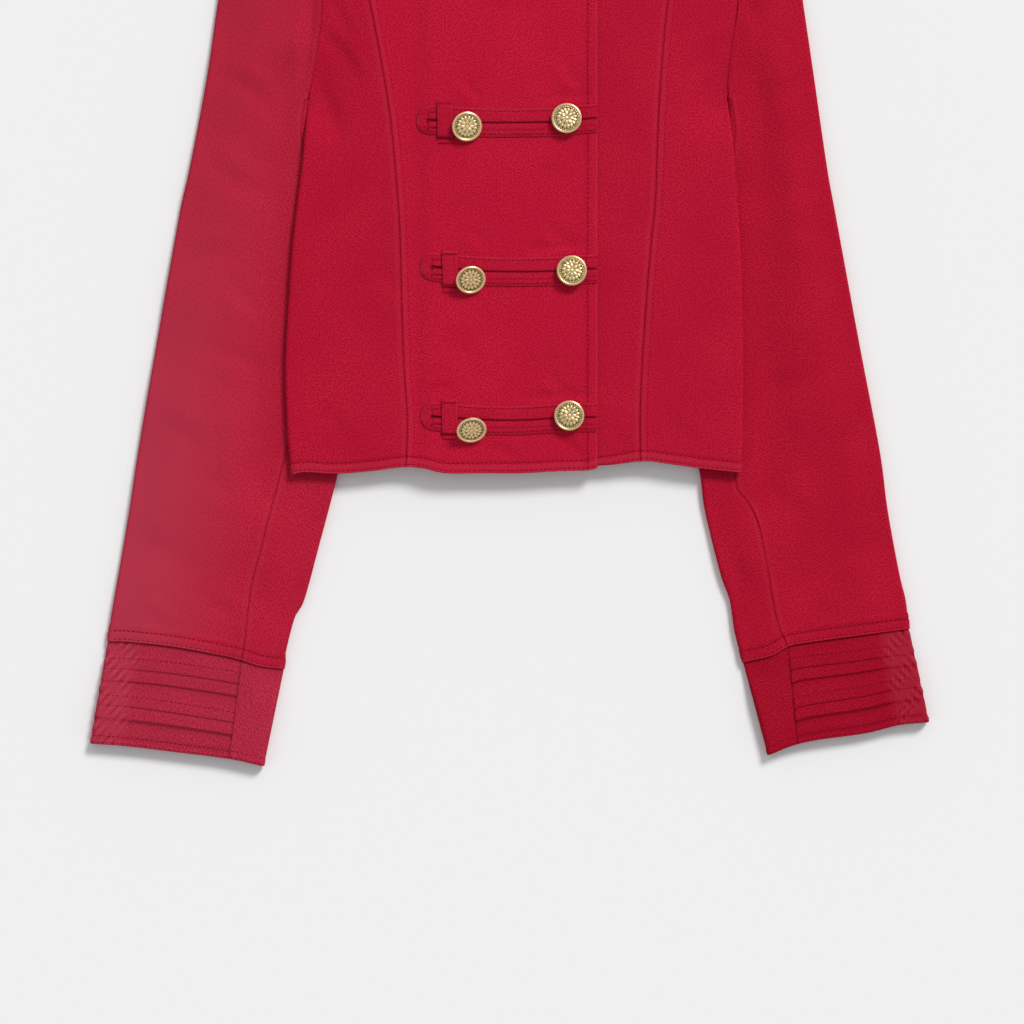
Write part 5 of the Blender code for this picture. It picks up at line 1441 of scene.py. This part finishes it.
def studio():
    """Pale floor, soft light from the neck's side and a camera straight above."""
    scene = bpy.context.scene
    scene.view_settings.view_transform = "Standard"
    corners = [(x * FLOOR_REACH, y * FLOOR_REACH, FLOOR_HEIGHT * MM)
               for x, y in ((-1, -1), (1, -1), (1, 1), (-1, 1))]
    floor = new_piece("floor", corners, [(0, 1, 2, 3)])
    paper, tree, shader = shader_of("floor_paper")
    wired(tree, shader, Base_Color=FLOOR_COLOUR, Roughness=0.95, Specular_IOR_Level=0.1)
    floor.data.materials.append(paper)
    lamp = bpy.data.lights.new("key", "SUN")
    lamp.energy = SUN_STRENGTH
    lamp.angle = math.radians(SUN_SPREAD)
    lamp.color = SUN_COLOUR
    key = bpy.data.objects.new("key", lamp)
    key.rotation_mode = "QUATERNION"
    key.rotation_quaternion = Vector(SUN_FROM).to_track_quat("Z", "Y")
    scene.collection.objects.link(key)
    sky = bpy.data.worlds.new("studio")
    sky.use_nodes = True
    wired(sky.node_tree, sky.node_tree.nodes["Background"], Color=SKY_COLOUR,
          Strength=SKY_STRENGTH)
    scene.world = sky
    eye = bpy.data.cameras.new("camera")
    eye.lens = LENS
    eye.clip_start = 0.05
    camera = bpy.data.objects.new("camera", eye)
    camera.location = (VIEW_MIDDLE[0] * MM, VIEW_MIDDLE[1] * MM, VIEW_HEIGHT * MM)
    scene.collection.objects.link(camera)
    scene.camera = camera


# Lit and shaded copies of one twill: the centre front is painted lighter, the right sleeve and
# right cuff carry a painted pale haze, and the left cuff is painted darker as shade.
centre_twill_painted_lighter = twill("centre_twill_painted_lighter", (0.475, 0.0050, 0.0290))
side_twill = twill("side_twill", (0.440, 0.0045, 0.0270))
sleeve_twill = {"right": twill("right_sleeve_twill_painted_haze", (0.435, 0.0095, 0.0330)),
                "left": twill("left_sleeve_twill", (0.430, 0.0040, 0.0240))}
cuff_twill = {"right": twill("right_cuff_twill_painted_haze", (0.415, 0.0210, 0.0470)),
              "left": twill("left_cuff_twill_painted_shade", (0.345, 0.0012, 0.0170))}
tape_red = twill("tape_red", (0.450, 0.0050, 0.0280), rib=1.4)
RED_THREAD = thread("red_thread", (0.235, 0.0025, 0.0135))
# Copies of the gold: painted brighter for the leaning buttons and painted darker for the flat
# ones, to even out how the light falls on them.
leaning_gold_painted_brighter = old_gold("leaning_gold_painted_brighter", 1.08)
flat_gold_painted_darker = old_gold("flat_gold_painted_darker", 0.88)
STITCHES = stitch_group()

back_piece = back(side_twill)
fronts = [centre_front("left", side_twill), side_front("left", side_twill),
          side_front("right", side_twill), centre_front("right", centre_twill_painted_lighter)]
sleeves, cuffs = {}, {}
for wearer_side in SIDES:
    sleeves[wearer_side] = sleeve_parts(wearer_side, sleeve_twill[wearer_side])
    cuffs[wearer_side] = cuff_parts(wearer_side, cuff_twill[wearer_side])

over_tree = tree_of(fronts[-1])
tabs, loops, tab_lines = [], [], []
for number, (middles, loop_place) in enumerate(zip(TAB_MIDDLES, LOOPS), start=1):
    tab_piece, tab_line = tab(number, middles, over_tree, tape_red)
    tabs.append(tab_piece)
    tab_lines.append(tab_line)
    loops.append(loop(number, loop_place, tab_line, over_tree, tape_red))
for button_name, button_place in BUTTONS.items():
    button(button_name, button_place, leaning_gold_painted_brighter if "outer" in button_name else flat_gold_painted_darker)

body_sewing(tree_of(*fronts))
for wearer_side in SIDES:
    sleeve_sewing(wearer_side, tree_of(*sleeves[wearer_side]))
    cuff_sewing(wearer_side, tree_of(*cuffs[wearer_side]))
tab_sewing(tabs, loops, tab_lines)
back_sewing(tree_of(back_piece))
studio()
